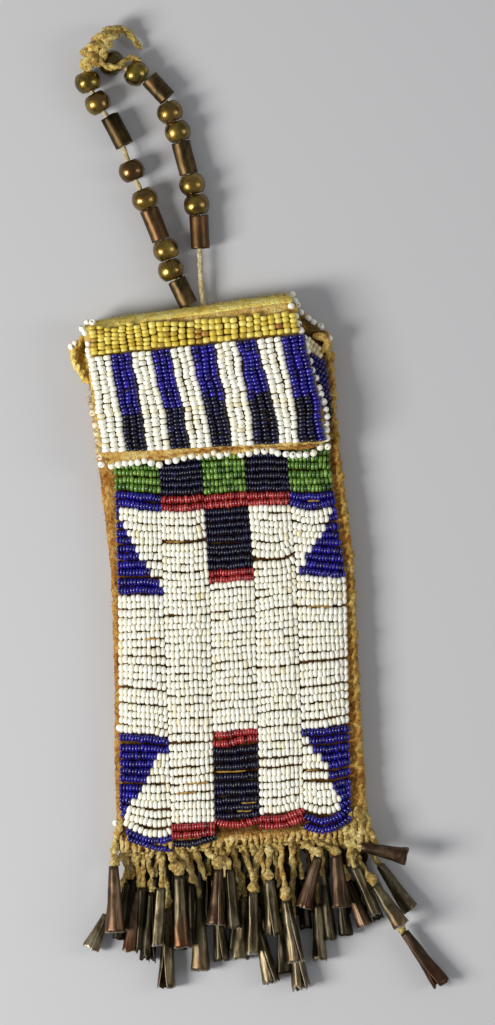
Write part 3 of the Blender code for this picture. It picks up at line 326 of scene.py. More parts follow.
# Pixels of the white beads sewn along edges.
FLAP_RIGHT_EDGE = (
    (290.7, 306.4), (295.7, 316.7), (298.3, 323.6), (301, 330.9), (303.7, 338.1), (306.4, 345),
    (307.9, 351.1), (309.4, 361.5), (311.7, 370.3), (315.6, 377.9), (318.6, 387.9), (320.9, 394),
    (323.3, 402), (325.8, 409.7), (326.8, 416.8), (326.3, 424), (325.8, 430), (326.8, 438.3),
    (327.9, 446.4), (320.2, 447),
)
FLAP_FOOT_EDGE = (
    (101.8, 464.5), (111.8, 465.5), (119.1, 464.5), (125.5, 463.6), (131.8, 462.7), (138.2, 461.8),
    (144.5, 460.9), (151.8, 462.7), (160, 464.5), (168.2, 461.8), (176.4, 460), (184.5, 458.2),
    (191.8, 456.4), (199.1, 456.4), (207.3, 455.5), (213.6, 452.7), (220, 455.5), (227.3, 453.6),
    (241.8, 454.5), (249.1, 453.6), (256.4, 451.8), (264.5, 450.9), (271.8, 450.9), (278.2, 452.8),
    (286.5, 454), (292.7, 455), (298.8, 455), (305.9, 455), (313.6, 453),
)
FLAP_LEFT_EDGE = (
    (87.3, 322.7), (92.3, 322.4), (82.7, 329), (85.6, 333), (88.4, 343.9), (88.6, 350), (89.3, 355.8),
    (90.4, 405.5), (91.8, 412.7), (94, 425.5), (95.5, 433.6), (96.4, 440.5), (97.3, 450), (98.4, 458),
)
SHOULDER_EDGE = (
    (287.6, 297.6), (292.2, 294.2), (295.3, 300.3), (297.2, 304.5), (301, 311.8), (308.3, 317.5),
    (313.6, 322.5), (321.3, 326.3), (329.7, 337.4),
)
# Short slanting rows at the top of the fifth lane, beside the flap: both ends and the colour.
SHOULDER_ROWS = (
    (309.8, 340.4, 320.3, 350.2, "w"), (304.4, 342, 321.6, 357.4, "w"), (307, 352.5, 325.5, 364.5, "b"),
    (309, 359.5, 326.8, 370.5, "b"), (311, 366.5, 327.6, 376.5, "b"), (313, 373, 328.4, 382.5, "b"),
    (316, 380, 329, 388.5, "b"), (318, 387, 330, 394.5, "b"), (321, 393.5, 330.5, 399.5, "b"),
    (322, 400, 331, 405, "n"), (324, 406.5, 331.5, 411, "n"), (325, 413.5, 332, 417.5, "n"),
)

# One bead, with its hole along X: rings of (place, radius), then a dimple at each end.
BEAD_RINGS = ((-1.0, 0.62), (-0.58, 0.98), (0.58, 0.98), (1.0, 0.62))
BEAD_DIMPLES = ((-0.82, 0.0, 0.0), (0.82, 0.0, 0.0))
BEAD_SIDES = 8
RING_BEAD = ((-0.98, 0.52), (-0.72, 0.84), (0.0, 1.0), (0.72, 0.84), (0.98, 0.52), (0.7, 0.26), (-0.7, 0.26))
RING_BEAD_SIDES = 12
EDGE_BEAD_RADIUS = 1.15 * MM
# Middle and spread of the random tones of a colour's beads, and those of the other colours.
BEAD_TONES = {"w": (0.80, 0.13), "y": (0.60, 0.16)}
OTHER_TONES = (0.5, 0.2)
ODD_BEADS = 0.04
# Height in millimetres of a lane bead's hole over the hide, and the power by which rows drop away
# towards their ends.
BEAD_STAND = 0.95
ROW_CURVE = 2.6

# Pixels of the strip along the flap's foot, of the rim of the mouth's ear, and of the strands of
# the bundle at the seam's right, on the pouch and below the seam.
FLAP_FOOT_LINE = (
    (97, 457.5), (104, 458.8), (112, 458.8), (136, 457.8), (160, 456.4), (180, 452.4), (210, 449.6),
    (240, 447), (270, 446.4), (300, 446), (319, 444),
)
EAR_RIM = (
    (83.4, 335.3), (82.2, 339.9), (78.4, 342.7), (75.2, 345.6), (73.6, 351), (73.4, 355.9), (75.8, 364.5),
    (81.0, 371.5), (84.2, 377.7), (89.8, 382.3),
)
BUNDLE_ABOVE = (
    ((351, 811), (352, 819), (354, 828), (355, 836)), ((357, 806), (359, 815), (362, 825), (364, 834)),
    ((363, 810), (365, 818), (368, 826), (370, 832)), ((346, 822), (347, 828), (349, 833), (350, 838)),
)
BUNDLE_BELOW = (
    ((345, 829), (350, 836), (353, 846), (354, 856)), ((350, 826), (356, 833), (360, 842), (362, 851)),
    ((356, 825), (363, 831), (367, 840), (368, 848)), ((361, 827), (368, 832), (373, 838), (376, 846)),
    ((346, 835), (350, 845), (351, 856), (349, 866)),
)

# Looks of hide: stops of the colours, the colour where it is worn, that of its spots, and how
# much finer its patches are.
BLACK, WHITE = (0.0, 0.0, 0.0), (1.0, 1.0, 1.0)
OCHRE = (
    (0.0, (0.10, 0.035, 0.006)), (0.25, (0.30, 0.125, 0.020)), (0.5, (0.47, 0.235, 0.045)),
    (0.75, (0.60, 0.36, 0.10)), (1.0, (0.72, 0.50, 0.20)),
)
HIDE_LOOKS = {
    "hide": (OCHRE, (0.36, 0.12, 0.018), (0.07, 0.025, 0.005), 1.0),
    "hide_orange": (OCHRE, (0.52, 0.20, 0.04), (0.14, 0.05, 0.008), 1.0),
    "suede": (
        ((0.0, (0.36, 0.19, 0.040)), (0.3, (0.62, 0.40, 0.10)), (0.6, (0.78, 0.56, 0.17)),
         (1.0, (0.88, 0.72, 0.33))), (0.56, 0.30, 0.07), (0.22, 0.11, 0.025), 1.0),
    "fold_gold": (
        ((0.0, (0.72, 0.46, 0.07)), (0.3, (0.92, 0.70, 0.14)), (0.6, (1.0, 0.87, 0.24)),
         (1.0, (1.0, 0.95, 0.42))), (0.86, 0.58, 0.12), (0.50, 0.29, 0.06), 1.0),
    "welt_hide": (
        ((0.0, (0.20, 0.085, 0.016)), (0.3, (0.44, 0.25, 0.045)), (0.6, (0.66, 0.43, 0.10)),
         (1.0, (0.84, 0.64, 0.24))), (0.46, 0.17, 0.03), (0.12, 0.045, 0.008), 1.0),
    "ear_hide": (
        ((0.0, (0.58, 0.31, 0.055)), (0.3, (0.88, 0.58, 0.11)), (0.6, (1.0, 0.76, 0.19)),
         (1.0, (1.0, 0.90, 0.38))), (0.90, 0.52, 0.09), (0.42, 0.19, 0.032), 1.0),
    "thong": (
        ((0.0, (0.15, 0.08, 0.018)), (0.25, (0.38, 0.25, 0.064)), (0.5, (0.60, 0.45, 0.15)),
         (0.75, (0.78, 0.64, 0.27)), (1.0, (0.92, 0.82, 0.46))),
        (0.40, 0.23, 0.055), (0.10, 0.05, 0.012), 1.2),
    "thong_gold": (
        ((0.0, (0.30, 0.15, 0.035)), (0.3, (0.58, 0.37, 0.10)), (0.6, (0.78, 0.58, 0.20)),
         (1.0, (0.92, 0.78, 0.42))), (0.52, 0.27, 0.07), (0.16, 0.08, 0.016), 1.3),
    "knot_thong": (
        ((0.0, (0.24, 0.12, 0.022)), (0.3, (0.56, 0.37, 0.085)), (0.55, (0.80, 0.60, 0.17)),
         (1.0, (0.95, 0.82, 0.40))), (0.36, 0.17, 0.035), (0.10, 0.045, 0.010), 1.7),
    # Near black: painted shade, for the thongs that fill the shadow under the fringe.
    "dark_thong": (
        ((0.0, (0.010, 0.007, 0.003)), (0.5, (0.035, 0.022, 0.008)), (1.0, (0.11, 0.07, 0.025))),
        (0.03, 0.015, 0.005), (0.006, 0.004, 0.002), 1.6),
    "pale_thong": (
        ((0.0, (0.50, 0.37, 0.15)), (0.4, (0.70, 0.58, 0.31)), (1.0, (0.86, 0.78, 0.54))),
        (0.66, 0.50, 0.24), (0.42, 0.30, 0.12), 1.6),
}
# Looks of beads: stops of the colours by tone, roughness and the strength of the clear coat.
BEAD_LOOKS = {
    "beads_white": (
        ((0.0, (0.50, 0.37, 0.16)), (0.22, (0.84, 0.73, 0.45)), (0.5, (0.96, 0.90, 0.70)),
         (0.85, (0.99, 0.97, 0.86))), 0.38, 0.15),
    "beads_yellow": (
        ((0.02, (0.34, 0.12, 0.03)), (0.2, (0.50, 0.33, 0.035)), (0.5, (0.72, 0.54, 0.060)),
         (0.9, (0.88, 0.74, 0.18))), 0.36, 0.15),
    "beads_blue": (
        ((0.1, (0.003, 0.001, 0.070)), (0.5, (0.008, 0.003, 0.20)), (0.9, (0.022, 0.012, 0.36))), 0.30, 0.5),
    "beads_navy": (
        ((0.1, (0.001, 0.001, 0.006)), (0.6, (0.002, 0.002, 0.022)), (0.95, (0.007, 0.007, 0.065))),
        0.36, 0.3),
    "beads_red": (
        ((0.1, (0.16, 0.006, 0.008)), (0.5, (0.40, 0.018, 0.022)), (0.9, (0.60, 0.09, 0.07))), 0.3, 0.6),
    "beads_green": (
        ((0.1, (0.026, 0.068, 0.006)), (0.5, (0.105, 0.240, 0.024)), (0.9, (0.27, 0.43, 0.080))), 0.3, 0.6),
}
# Looks of metal: stops of the colours, the colour of the painted highlight on edges and rims, the
# stained colour, the scale and the stretch of the patina, least and greatest roughness, metallic
# share and clear coat.
METAL_LOOKS = {
    "brass": (
        ((0.0, (0.040, 0.026, 0.005)), (0.3, (0.115, 0.078, 0.010)), (0.6, (0.215, 0.148, 0.018)),
         (1.0, (0.38, 0.27, 0.050))),
        (0.80, 0.66, 0.34), (0.17, 0.078, 0.018), 150.0, None, (0.25, 0.36), 1.0, 0.6),
    "rolled_copper": (
        ((0.0, (0.010, 0.012, 0.007)), (0.3, (0.040, 0.030, 0.014)), (0.6, (0.088, 0.056, 0.023)),
         (1.0, (0.17, 0.112, 0.048))),
        (0.75, 0.62, 0.42), (0.14, 0.060, 0.026), 150.0, (1.0, 0.5, 1.0), (0.36, 0.50), 1.0, 0.0),
    "tin": (
        ((0.0, (0.024, 0.017, 0.008)), (0.3, (0.066, 0.050, 0.024)), (0.6, (0.125, 0.098, 0.052)),
         (1.0, (0.27, 0.23, 0.15))),
        (0.62, 0.58, 0.48), (0.115, 0.040, 0.016), 190.0, (1.0, 0.4, 1.0), (0.31, 0.47), 0.85, 0.0),
    "tin_brown": (
        ((0.0, (0.025, 0.013, 0.006)), (0.3, (0.062, 0.034, 0.016)), (0.6, (0.105, 0.062, 0.032)),
         (1.0, (0.20, 0.13, 0.08))),
        (0.62, 0.53, 0.42), (0.11, 0.040, 0.018), 190.0, (1.0, 0.4, 1.0), (0.33, 0.48), 0.8, 0.0),
}


def grain(*place):
    """Smooth noise between -1 and 1 at a place."""
    return noise.noise(Vector(place))


def from_px(u, v):
    """Part X and Y of a pixel of the photograph."""
    du, dv = u - ORIGIN_PX[0], v - ORIGIN_PX[1]
    cos, sin = math.cos(TURN), math.sin(TURN)
    return PX * MM * (du * cos - dv * sin), -PX * MM * (du * sin + dv * cos)


def px_point(u, v, z):
    """A point over a pixel at a height in millimetres."""
    x, y = from_px(u, v)
    return Vector((x, y, z * MM))


def px_line(*places):
    """Points over pixels, each given as across, down and height."""
    return [px_point(*place) for place in places]


def smooth_path(points):
    """Points of a smooth curve through all the given points, PATH_STEPS from each to the next."""
    knots = [Vector(point) for point in points]
    ends = [2 * knots[0] - knots[1]] + knots + [2 * knots[-1] - knots[-2]]
    path = []
    for i in range(len(knots) - 1):
        before, start, end, after = ends[i:i + 4]
        for step in range(PATH_STEPS):
            t = step / PATH_STEPS
            path.append(0.5 * (
                2 * start + (end - before) * t
                + (2 * before - 5 * start + 4 * end - after) * t ** 2
                + (3 * start - before - 3 * end + after) * t ** 3
            ))
    path.append(knots[-1])
    return path


def along(path, distance):
    """The point and the direction at a distance along a path."""
    walked = 0.0
    for start, end in zip(path, path[1:]):
        step = (end - start).length
        if walked + step >= distance:
            return start.lerp(end, (distance - walked) / step), (end - start).normalized()
        walked += step
    return path[-1], (path[-1] - path[-2]).normalized()


def path_length(path):
    return sum((end - start).length for start, end in zip(path, path[1:]))


def even_path(path, step):
    """The same path in equal steps of about the given length."""
    length = path_length(path)
    count = max(2, round(length / step))
    return [along(path, length * i / count)[0] for i in range(count + 1)]


def edge_table(side):
    knots = [(row[0] * POUCH_BELOW, row[1 + side] * HALF_WIDTH, 0.0) for row in EDGE_SHARES]
    path = smooth_path(knots)
    return np.array([p.x for p in path]), np.array([p.y for p in path])


EDGE_TABLES = (edge_table(0), edge_table(1))
LANE_TABLE = np.array(LANE_EDGE_SHARES)


def edge_x(side, y):
    """The pouch's outer edge at a height y: side 0 is left and 1 is right."""
    return float(np.interp(y, *EDGE_TABLES[side]))


def flap_point(across, down):
    """World X and Y of a place given from the flap's hinge line."""
    cos, sin = math.cos(FOLD_TILT), math.sin(FOLD_TILT)
    return FLAP_AXIS.x + across * cos + down * sin, FLAP_AXIS.y + across * sin - down * cos


def flap_place(x, y):
    """Across and down from the flap's hinge line of a world place."""
    rel_x, rel_y = x - FLAP_AXIS.x, y - FLAP_AXIS.y
    cos, sin = math.cos(FOLD_TILT), math.sin(FOLD_TILT)
    return rel_x * cos + rel_y * sin, rel_x * sin - rel_y * cos


def lane_edge(boundary, y):
    """X of a lane boundary at a height."""
    foot = -POUCH_BELOW * 0.948
    share = (y - foot) / (LANE_TOP - foot)
    return HALF_WIDTH * float(np.interp(share, LANE_TABLE[:, 0], LANE_TABLE[:, 1 + boundary]))


def lane_span(index, y):
    """X where a lane's rows of beads start and end at a height."""
    return lane_edge(index, y) + 0.15 * MM, lane_edge(index + 1, y) - 0.15 * MM


def across_share(x, y):
    """Place across the pouch, from -1 at the left edge to 1 at the right."""
    left, right = edge_x(0, y), edge_x(1, y)
    return min(max((2 * x - left - right) / (right - left), -1.0), 1.0)


def front_face(x, y):
    """Height of the outer face of the front hide: a low crown that rolls down to its seams."""
    share = across_share(x, y)
    crown = (1.0 - share ** 4) ** 0.5
    foot = min(max((y - SEAM_Y) / (7.0 * MM), 0.0), 1.0)
    crown *= (1.0 - (1.0 - foot) ** 3) ** 0.5
    sag = 0.35 * MM * noise.noise(Vector((x, y, 0.3)) * 45.0)
    return SEAM_TOP + (CROWN - SEAM_TOP) * crown + sag * crown


def front_hide_face(x, y):
    """The front hide's face as it shows: drawn in between the lanes and rough at its edges."""
    share = abs(across_share(x, y))
    dip = 0.0
    for boundary in range(6):
        away = (x - lane_edge(boundary, y)) / (0.9 * MM)
        dip = max(dip, math.exp(-away * away))
    rough = noise.noise(Vector((x, y, 2.0)) * 420.0) * 0.22 + noise.noise(Vector((x, y, 7.0)) * 1100.0) * 0.12
    return front_face(x, y) - 0.5 * MM * dip + rough * MM * (0.4 + 0.6 * share)


def back_face(x, y):
    """Height of the outer face of the back hide, which lies on the table and lifts at its edges."""
    share = abs(across_share(x, y))
    lift = max(0.0, (share - 0.8) / 0.2) ** 2
    foot = min(max(1.0 - (y - SEAM_Y) / (6.0 * MM), 0.0), 1.0) ** 2
    return SEAM_FOOT * max(lift, foot)


def flap_height(across, down):
    """Height of the flap's outer face, which eases down at its sides and foot."""
    side = max(0.0, abs(across / FOLD_HALF_WIDTH) - 0.82) / 0.2
    foot = max(0.0, down / FLAP_LENGTH - 0.85) / 0.15
    wave = 0.25 * MM * noise.noise(Vector((across, down, 1.7)) * 60.0)
    return FOLD_HEIGHT - 0.35 * MM * min(side, 1.2) ** 2 - 0.35 * MM * min(foot, 1.2) ** 2 + wave


FINISHES = {}


def link(name, mesh, finish, body):
    """Link a mesh as a piece of the bag that rides on a body."""
    made = bpy.data.objects.new(name, mesh)
    bpy.context.scene.collection.objects.link(made)
    mesh.materials.append(FINISHES[finish])
    mesh.shade_smooth()
    if body:
        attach(made, body)
    return made


def mesh_of(name, verts, faces, **layers):
    """A mesh from an array of points and a list of faces, with values for each point."""
    mesh = bpy.data.meshes.new(name)
    mesh.from_pydata([tuple(map(float, v)) for v in verts], [], faces)
    mesh.update()
    for key, values in layers.items():
        layer = mesh.attributes.new(key, "FLOAT", "POINT")
        layer.data.foreach_set("value", np.asarray(values, dtype=np.float32))
    return mesh


def joined(parts):
    """Many (points, faces) as one."""
    verts, faces, start = [], [], 0
    for part_verts, part_faces in parts:
        verts.append(np.asarray(part_verts, dtype=float))
        faces += [tuple(corner + start for corner in face) for face in part_faces]
        start += len(part_verts)
    return np.concatenate(verts), faces


def add_piece(name, parts, finish, body, slot, node, **layers):
    """Join parts of mesh into one piece, which shows a node of the solids."""
    verts, faces = joined(parts)
    made = link(name, mesh_of(name, verts, faces, **layers), finish, body)
    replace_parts(made, node)
    return made


def grid_faces(rows, cols, start=0, flip=False, wrap=False):
    """Quads of a grid of points, closed round its columns if asked."""
    faces = []
    last = cols if wrap else cols - 1
    for i in range(rows - 1):
        for j in range(last):
            a = start + i * cols + j
            b = start + i * cols + (j + 1) % cols
            c, d = b + cols, a + cols
            faces.append((a, d, c, b) if flip else (a, b, c, d))
    return faces


def rim_places(rows, cols):
    """Rows and columns of the places round a grid's rim."""
    rim = [(0, j) for j in range(cols)] + [(i, cols - 1) for i in range(1, rows)]
    return rim + [(rows - 1, j) for j in range(cols - 2, -1, -1)] + [(i, 0) for i in range(rows - 2, 0, -1)]


def shell(top, bottom, bulge=0.35):
    """A closed sheet between two grids of points, with a rounded rim."""
    rows, cols = top.shape[:2]
    verts = np.concatenate([top.reshape(-1, 3), bottom.reshape(-1, 3)])
    faces = grid_faces(rows, cols) + grid_faces(rows, cols, rows * cols, flip=True)
    rim = rim_places(rows, cols)
    middle = []
    for i, j in rim:
        outward = top[i, j] - top[min(max(i, 1), rows - 2), min(max(j, 1), cols - 2)]
        length = max(np.linalg.norm(outward), 1e-9)
        thick = np.linalg.norm(top[i, j] - bottom[i, j])
        middle.append((top[i, j] + bottom[i, j]) / 2 + outward / length * thick * bulge)
    start, count = len(verts), len(rim)
    verts = np.concatenate([verts, np.array(middle)])
    for k in range(count):
        m = (k + 1) % count
        a, b = rim[k][0] * cols + rim[k][1], rim[m][0] * cols + rim[m][1]
        faces.append((a, start + k, start + m, b))
        faces.append((start + k, a + rows * cols, b + rows * cols, start + m))
    return verts, faces


def rings_mesh(rings, bore=False):
    """A skin over equal rings of points, capped at both ends, or closed from the last to the first."""
    rows, cols = len(rings), len(rings[0])
    verts = np.array(rings, dtype=float).reshape(-1, 3)
    faces = grid_faces(rows, cols, wrap=True)
    last = (rows - 1) * cols
    pairs = [(j, (j + 1) % cols) for j in range(cols)]
    if bore:
        return verts, faces + [(last + j, last + k, k, j) for j, k in pairs]
    ends = [verts[:cols].mean(axis=0), verts[-cols:].mean(axis=0)]
    for j, k in pairs:
        faces += [(rows * cols, k, j), (rows * cols + 1, last + j, last + k)]
    return np.concatenate([verts, np.array(ends)]), faces


def frames_on(path):
    """Direction, side and up vectors at each point of a path, without sudden turns."""
    side = Vector((0.0, 0.0, 1.0))
    found = []
    for i in range(len(path)):
        ahead = (path[min(i + 1, len(path) - 1)] - path[max(i - 1, 0)]).normalized()
        if abs(side.dot(ahead)) > 0.98:
            side = Vector((1.0, 0.0, 0.0))
        side = (side - ahead * side.dot(ahead)).normalized()
        found.append((ahead, side, ahead.cross(side)))
    return found


def twisted(path, radii, twist, depth, sides, seed, lumps, flat=1.0):
    """Rings of a two-ply, lumpy strip of hide that follows a path."""
    rings = []
    walked = 0.0
    for i, (point, (_, side, other)) in enumerate(zip(path, frames_on(path))):
        if i:
            walked += (point - path[i - 1]).length
        turn = math.tau * walked / twist
        ring = []
        for k in range(sides):
            angle = math.tau * k / sides
            c, s = math.cos(angle), math.sin(angle)
            swell = 1.0 + depth * math.cos(2 * (angle - turn))
            swell += lumps * grain(walked * 900.0, c * 1.3 + seed, s * 1.3)
            swell += lumps * 0.6 * grain(walked * 2400.0, c * 3 + seed, s * 3)
            reach = radii[i] * swell
            ring.append(point + side * c * reach * flat + other * s * reach)
        rings.append(ring)
    return rings


def strand(points, radii, step, twist, depth, sides, seed, lumps):
    """A twisted strip through points, with a radius in millimetres for each of them."""
    path = smooth_path(points)
    ends = np.cumsum([0.0] + [(b - a).length for a, b in zip(path, path[1:])])
    marks = [ends[i * PATH_STEPS] for i in range(len(points))]
    even = even_path(path, step)
    places = np.linspace(0.0, ends[-1], len(even))
    reach = [float(np.interp(p, marks, radii)) * MM for p in places]
    return rings_mesh(twisted(even, reach, twist, depth, sides, seed, lumps))


def fibre(base, way, length, radius, seed):
    """One closed, bent fibre that ends in a point."""
    way = way.normalized()
    side = way.orthogonal().normalized()
    other = way.cross(side)
    bend = Vector((math.sin(seed * 7.1), math.cos(seed * 5.3), math.sin(seed * 3.7))) * length * 0.3
    verts = []
    for point, share in ((base, 1.0), (base + way * length * 0.5 + bend * 0.35, 0.8)):
        for k in range(3):
            angle = math.tau * k / 3 + seed
            verts.append(point + (side * math.cos(angle) + other * math.sin(angle)) * radius * share)
    verts.append(base + way * length + bend)
    return np.array(verts), FIBRE_FACES


def nap(line, outward, count, length, spread=0.6, deep=0.5 * MM):
    """Fibres that stand out along a line of points, each leaning towards an outward direction."""
    parts = []
    total = path_length(line)
    for i in range(count):
        base, _ = along(line, total * RNG.uniform(0.0, 1.0))
        way = outward + Vector(RNG.normal(0.0, spread, 3))
        start = base - outward * RNG.uniform(0.0, deep)
        reach = length * RNG.uniform(0.5, 1.3)
        parts.append(fibre(start, way, reach, FIBRE_RADIUS * RNG.uniform(0.8, 1.3), i * 1.3))
    return parts


def ramp_node(tree, source, stops, width=1.0):
    """A colour ramp from a list of (place, colour), drawn together round the middle by a width."""
    node = tree.nodes.new("ShaderNodeValToRGB")
    ramp = node.color_ramp
    while len(ramp.elements) < len(stops):
        ramp.elements.new(0.5)
    for element, (place, colour) in zip(ramp.elements, stops):
        element.position = 0.5 + (place - 0.5) * width
        element.color = (*colour, 1.0)
    tree.links.new(source, node.inputs["Fac"])
    return node.outputs["Color"]


def new_finish(name):
    made = bpy.data.materials.new(f"{name}_look")
    made.use_nodes = True
    FINISHES[name] = made
    tree = made.node_tree
    return tree, tree.nodes["Principled BSDF"]


def set_inputs(node, **values):
    """Set a node's inputs, each named with underscores for its spaces."""
    for key, value in values.items():
        node.inputs[key.replace("_", " ")].default_value = value


def noise_of(tree, scale, detail, distortion=0.0, stretch=None):
    """Noise over the object's own metres, stretched along an axis if asked."""
    node = tree.nodes.new("ShaderNodeTexNoise")
    set_inputs(node, Scale=scale, Detail=detail, Distortion=distortion, Roughness=0.55)
    coords = tree.nodes.get("Texture Coordinate") or tree.nodes.new("ShaderNodeTexCoord")
    source = coords.outputs["Object"]
    if stretch:
        mapping = tree.nodes.new("ShaderNodeMapping")
        set_inputs(mapping, Scale=stretch)
        tree.links.new(source, mapping.inputs["Vector"])
        source = mapping.outputs["Vector"]
    tree.links.new(source, node.inputs["Vector"])
    return node.outputs["Fac"]


def math_node(tree, operation, first, second, third=None):
    node = tree.nodes.new("ShaderNodeMath")
    node.operation = operation
    for socket, value in zip(node.inputs, (first, second, third)):
        if isinstance(value, (int, float)):
            socket.default_value = value
        elif value is not None:
            tree.links.new(value, socket)
    return node.outputs[0]


def weighted(tree, first, first_share, second, second_share):
    """The sum of two values by their shares."""
    parts = ((first, first_share), (second, second_share))
    return math_node(tree, "ADD", *[math_node(tree, "MULTIPLY", value, share) for value, share in parts])


def mix_colours(tree, share, first, second, blend="MIX"):
    node = tree.nodes.new("ShaderNodeMix")
    node.data_type = "RGBA"
    node.blend_type = blend
    for socket, value in ((node.inputs[0], share), (node.inputs[6], first), (node.inputs[7], second)):
        if isinstance(value, tuple):
            socket.default_value = (*value, 1.0)
        elif isinstance(value, float):
            socket.default_value = value
        else:
            tree.links.new(value, socket)
    return node.outputs[2]


def bump_from(tree, shader, source, distance, before=None):
    node = tree.nodes.new("ShaderNodeBump")
    set_inputs(node, Distance=distance)
    tree.links.new(source, node.inputs["Height"])
    if before:
        tree.links.new(before, node.inputs["Normal"])
    tree.links.new(node.outputs["Normal"], shader.inputs["Normal"])
    return node.outputs["Normal"]


def layer_value(tree, name):
    node = tree.nodes.new("ShaderNodeAttribute")
    node.attribute_name = name
    return node.outputs["Fac"]


def hide_finish(name, stops, accent, dark, scale):
    """Napped hide: colour in patches, specks and fibres, stained where it is worn, and a fine nap."""
    tree, shader = new_finish(name)
    patches = noise_of(tree, 170.0 * scale, 5.0, 0.6)
    specks = noise_of(tree, 700.0 * scale, 4.0, 0.4)
    fine = noise_of(tree, 3600.0, 3.0)
    base = ramp_node(tree, weighted(tree, patches, 0.5, specks, 0.5), stops, 0.30)
    wear = noise_of(tree, 260.0 * scale, 3.0, 1.2)
    worn = ramp_node(tree, wear, ((0.50, BLACK), (0.78, (0.75, 0.75, 0.75))), 0.4)
    colour = mix_colours(tree, worn, base, accent)
    spots = ramp_node(tree, noise_of(tree, 1500.0, 2.0, 0.5), ((0.10, (0.6, 0.6, 0.6)), (0.34, BLACK)), 0.4)
    colour = mix_colours(tree, spots, colour, dark)
    shadow = ramp_node(tree, layer_value(tree, "shade"), ((0.0, WHITE), (1.0, (0.16, 0.12, 0.08))))
    colour = mix_colours(tree, 1.0, colour, shadow, "MULTIPLY")
    tree.links.new(colour, shader.inputs["Base Color"])
    set_inputs(shader, Roughness=0.95, Specular_IOR_Level=0.12, Sheen_Weight=0.10, Sheen_Roughness=0.6,
               Sheen_Tint=(0.8, 0.65, 0.4, 1.0))
    coarse = bump_from(tree, shader, specks, 0.0011)
    bump_from(tree, shader, fine, 0.0003, coarse)


def bead_finish(name, stops, roughness, coat):
    """Glass seed beads: a tone for each bead, faint mottling and a glossy skin."""
    tree, shader = new_finish(name)
    specks = noise_of(tree, 1500.0, 3.0)
    shift = math_node(tree, "MULTIPLY_ADD", specks, 0.3, -0.15)
    tone = math_node(tree, "ADD", layer_value(tree, "tone"), shift)
    tree.links.new(ramp_node(tree, tone, stops), shader.inputs["Base Color"])
    set_inputs(shader, Roughness=roughness, Coat_Weight=coat, Coat_Roughness=0.07)
    bump_from(tree, shader, specks, 0.00004)


def metal_finish(name, stops, edge_highlight, rust, scale, stretch, rough, metallic, coat):
    """Tarnished metal: streaked patina, rusty where it is told, a painted highlight where its tone layer
    says, and darker where its shade layer says, partly each piece's own darkness and partly painted shade.
    """
    tree, shader = new_finish(name)
    patches = noise_of(tree, scale, 5.0, 0.8, stretch=stretch)
    fine = noise_of(tree, scale * 5.0, 3.0, 0.3, stretch=stretch)
    mixed = weighted(tree, patches, 0.8, fine, 0.2)
    colour = ramp_node(tree, mixed, stops, 0.34)
    stain = math_node(tree, "MULTIPLY", layer_value(tree, "rust"), noise_of(tree, scale * 1.4, 5.0, 1.0))
    stained = ramp_node(tree, stain, ((0.14, BLACK), (0.50, (0.85, 0.85, 0.85))))
    colour = mix_colours(tree, stained, colour, rust)
    shades = ((0.0, (1.25, 1.25, 1.25)), (0.25, WHITE), (1.0, (0.06, 0.055, 0.05)))
    dark = ramp_node(tree, layer_value(tree, "shade"), shades)
    colour = mix_colours(tree, 1.0, colour, dark, "MULTIPLY")
    # Painted highlight: the tone layer, broken up by the patches, mixes in the highlight colour along seam
    # edges and rims.
    worn = math_node(tree, "MULTIPLY", layer_value(tree, "tone"), math_node(tree, "ADD", patches, 0.5))
    colour = mix_colours(tree, ramp_node(tree, worn, ((0.45, BLACK), (0.95, WHITE))), colour, edge_highlight)
    tree.links.new(colour, shader.inputs["Base Color"])
    set_inputs(shader, Metallic=metallic, Coat_Weight=coat, Coat_Roughness=0.10)
    spread = tree.nodes.new("ShaderNodeMapRange")
    set_inputs(spread, From_Min=0.38, From_Max=0.62, To_Min=rough[0], To_Max=rough[1])
    tree.links.new(patches, spread.inputs["Value"])
    tree.links.new(spread.outputs["Result"], shader.inputs["Roughness"])
    bump_from(tree, shader, mixed, 0.00009)


def make_finishes():
    for make, looks in ((hide_finish, HIDE_LOOKS), (bead_finish, BEAD_LOOKS), (metal_finish, METAL_LOOKS)):
        for name, look in looks.items():
            make(name, *look)


def bead_mesh(profile, sides, bore):
    """One bead over rings of (place along the hole, radius)."""
    turns = [math.tau * k / sides for k in range(sides)]
    rings = [[(place, radius * math.cos(turn), radius * math.sin(turn)) for turn in turns]
             for place, radius in profile]
    return rings_mesh(rings, bore)


TEMPLATES = {
    "solid": bead_mesh(BEAD_RINGS, BEAD_SIDES, bore=False),
    "ring": bead_mesh(RING_BEAD, RING_BEAD_SIDES, bore=True),
}
TEMPLATES["solid"][0][-2:] = BEAD_DIMPLES


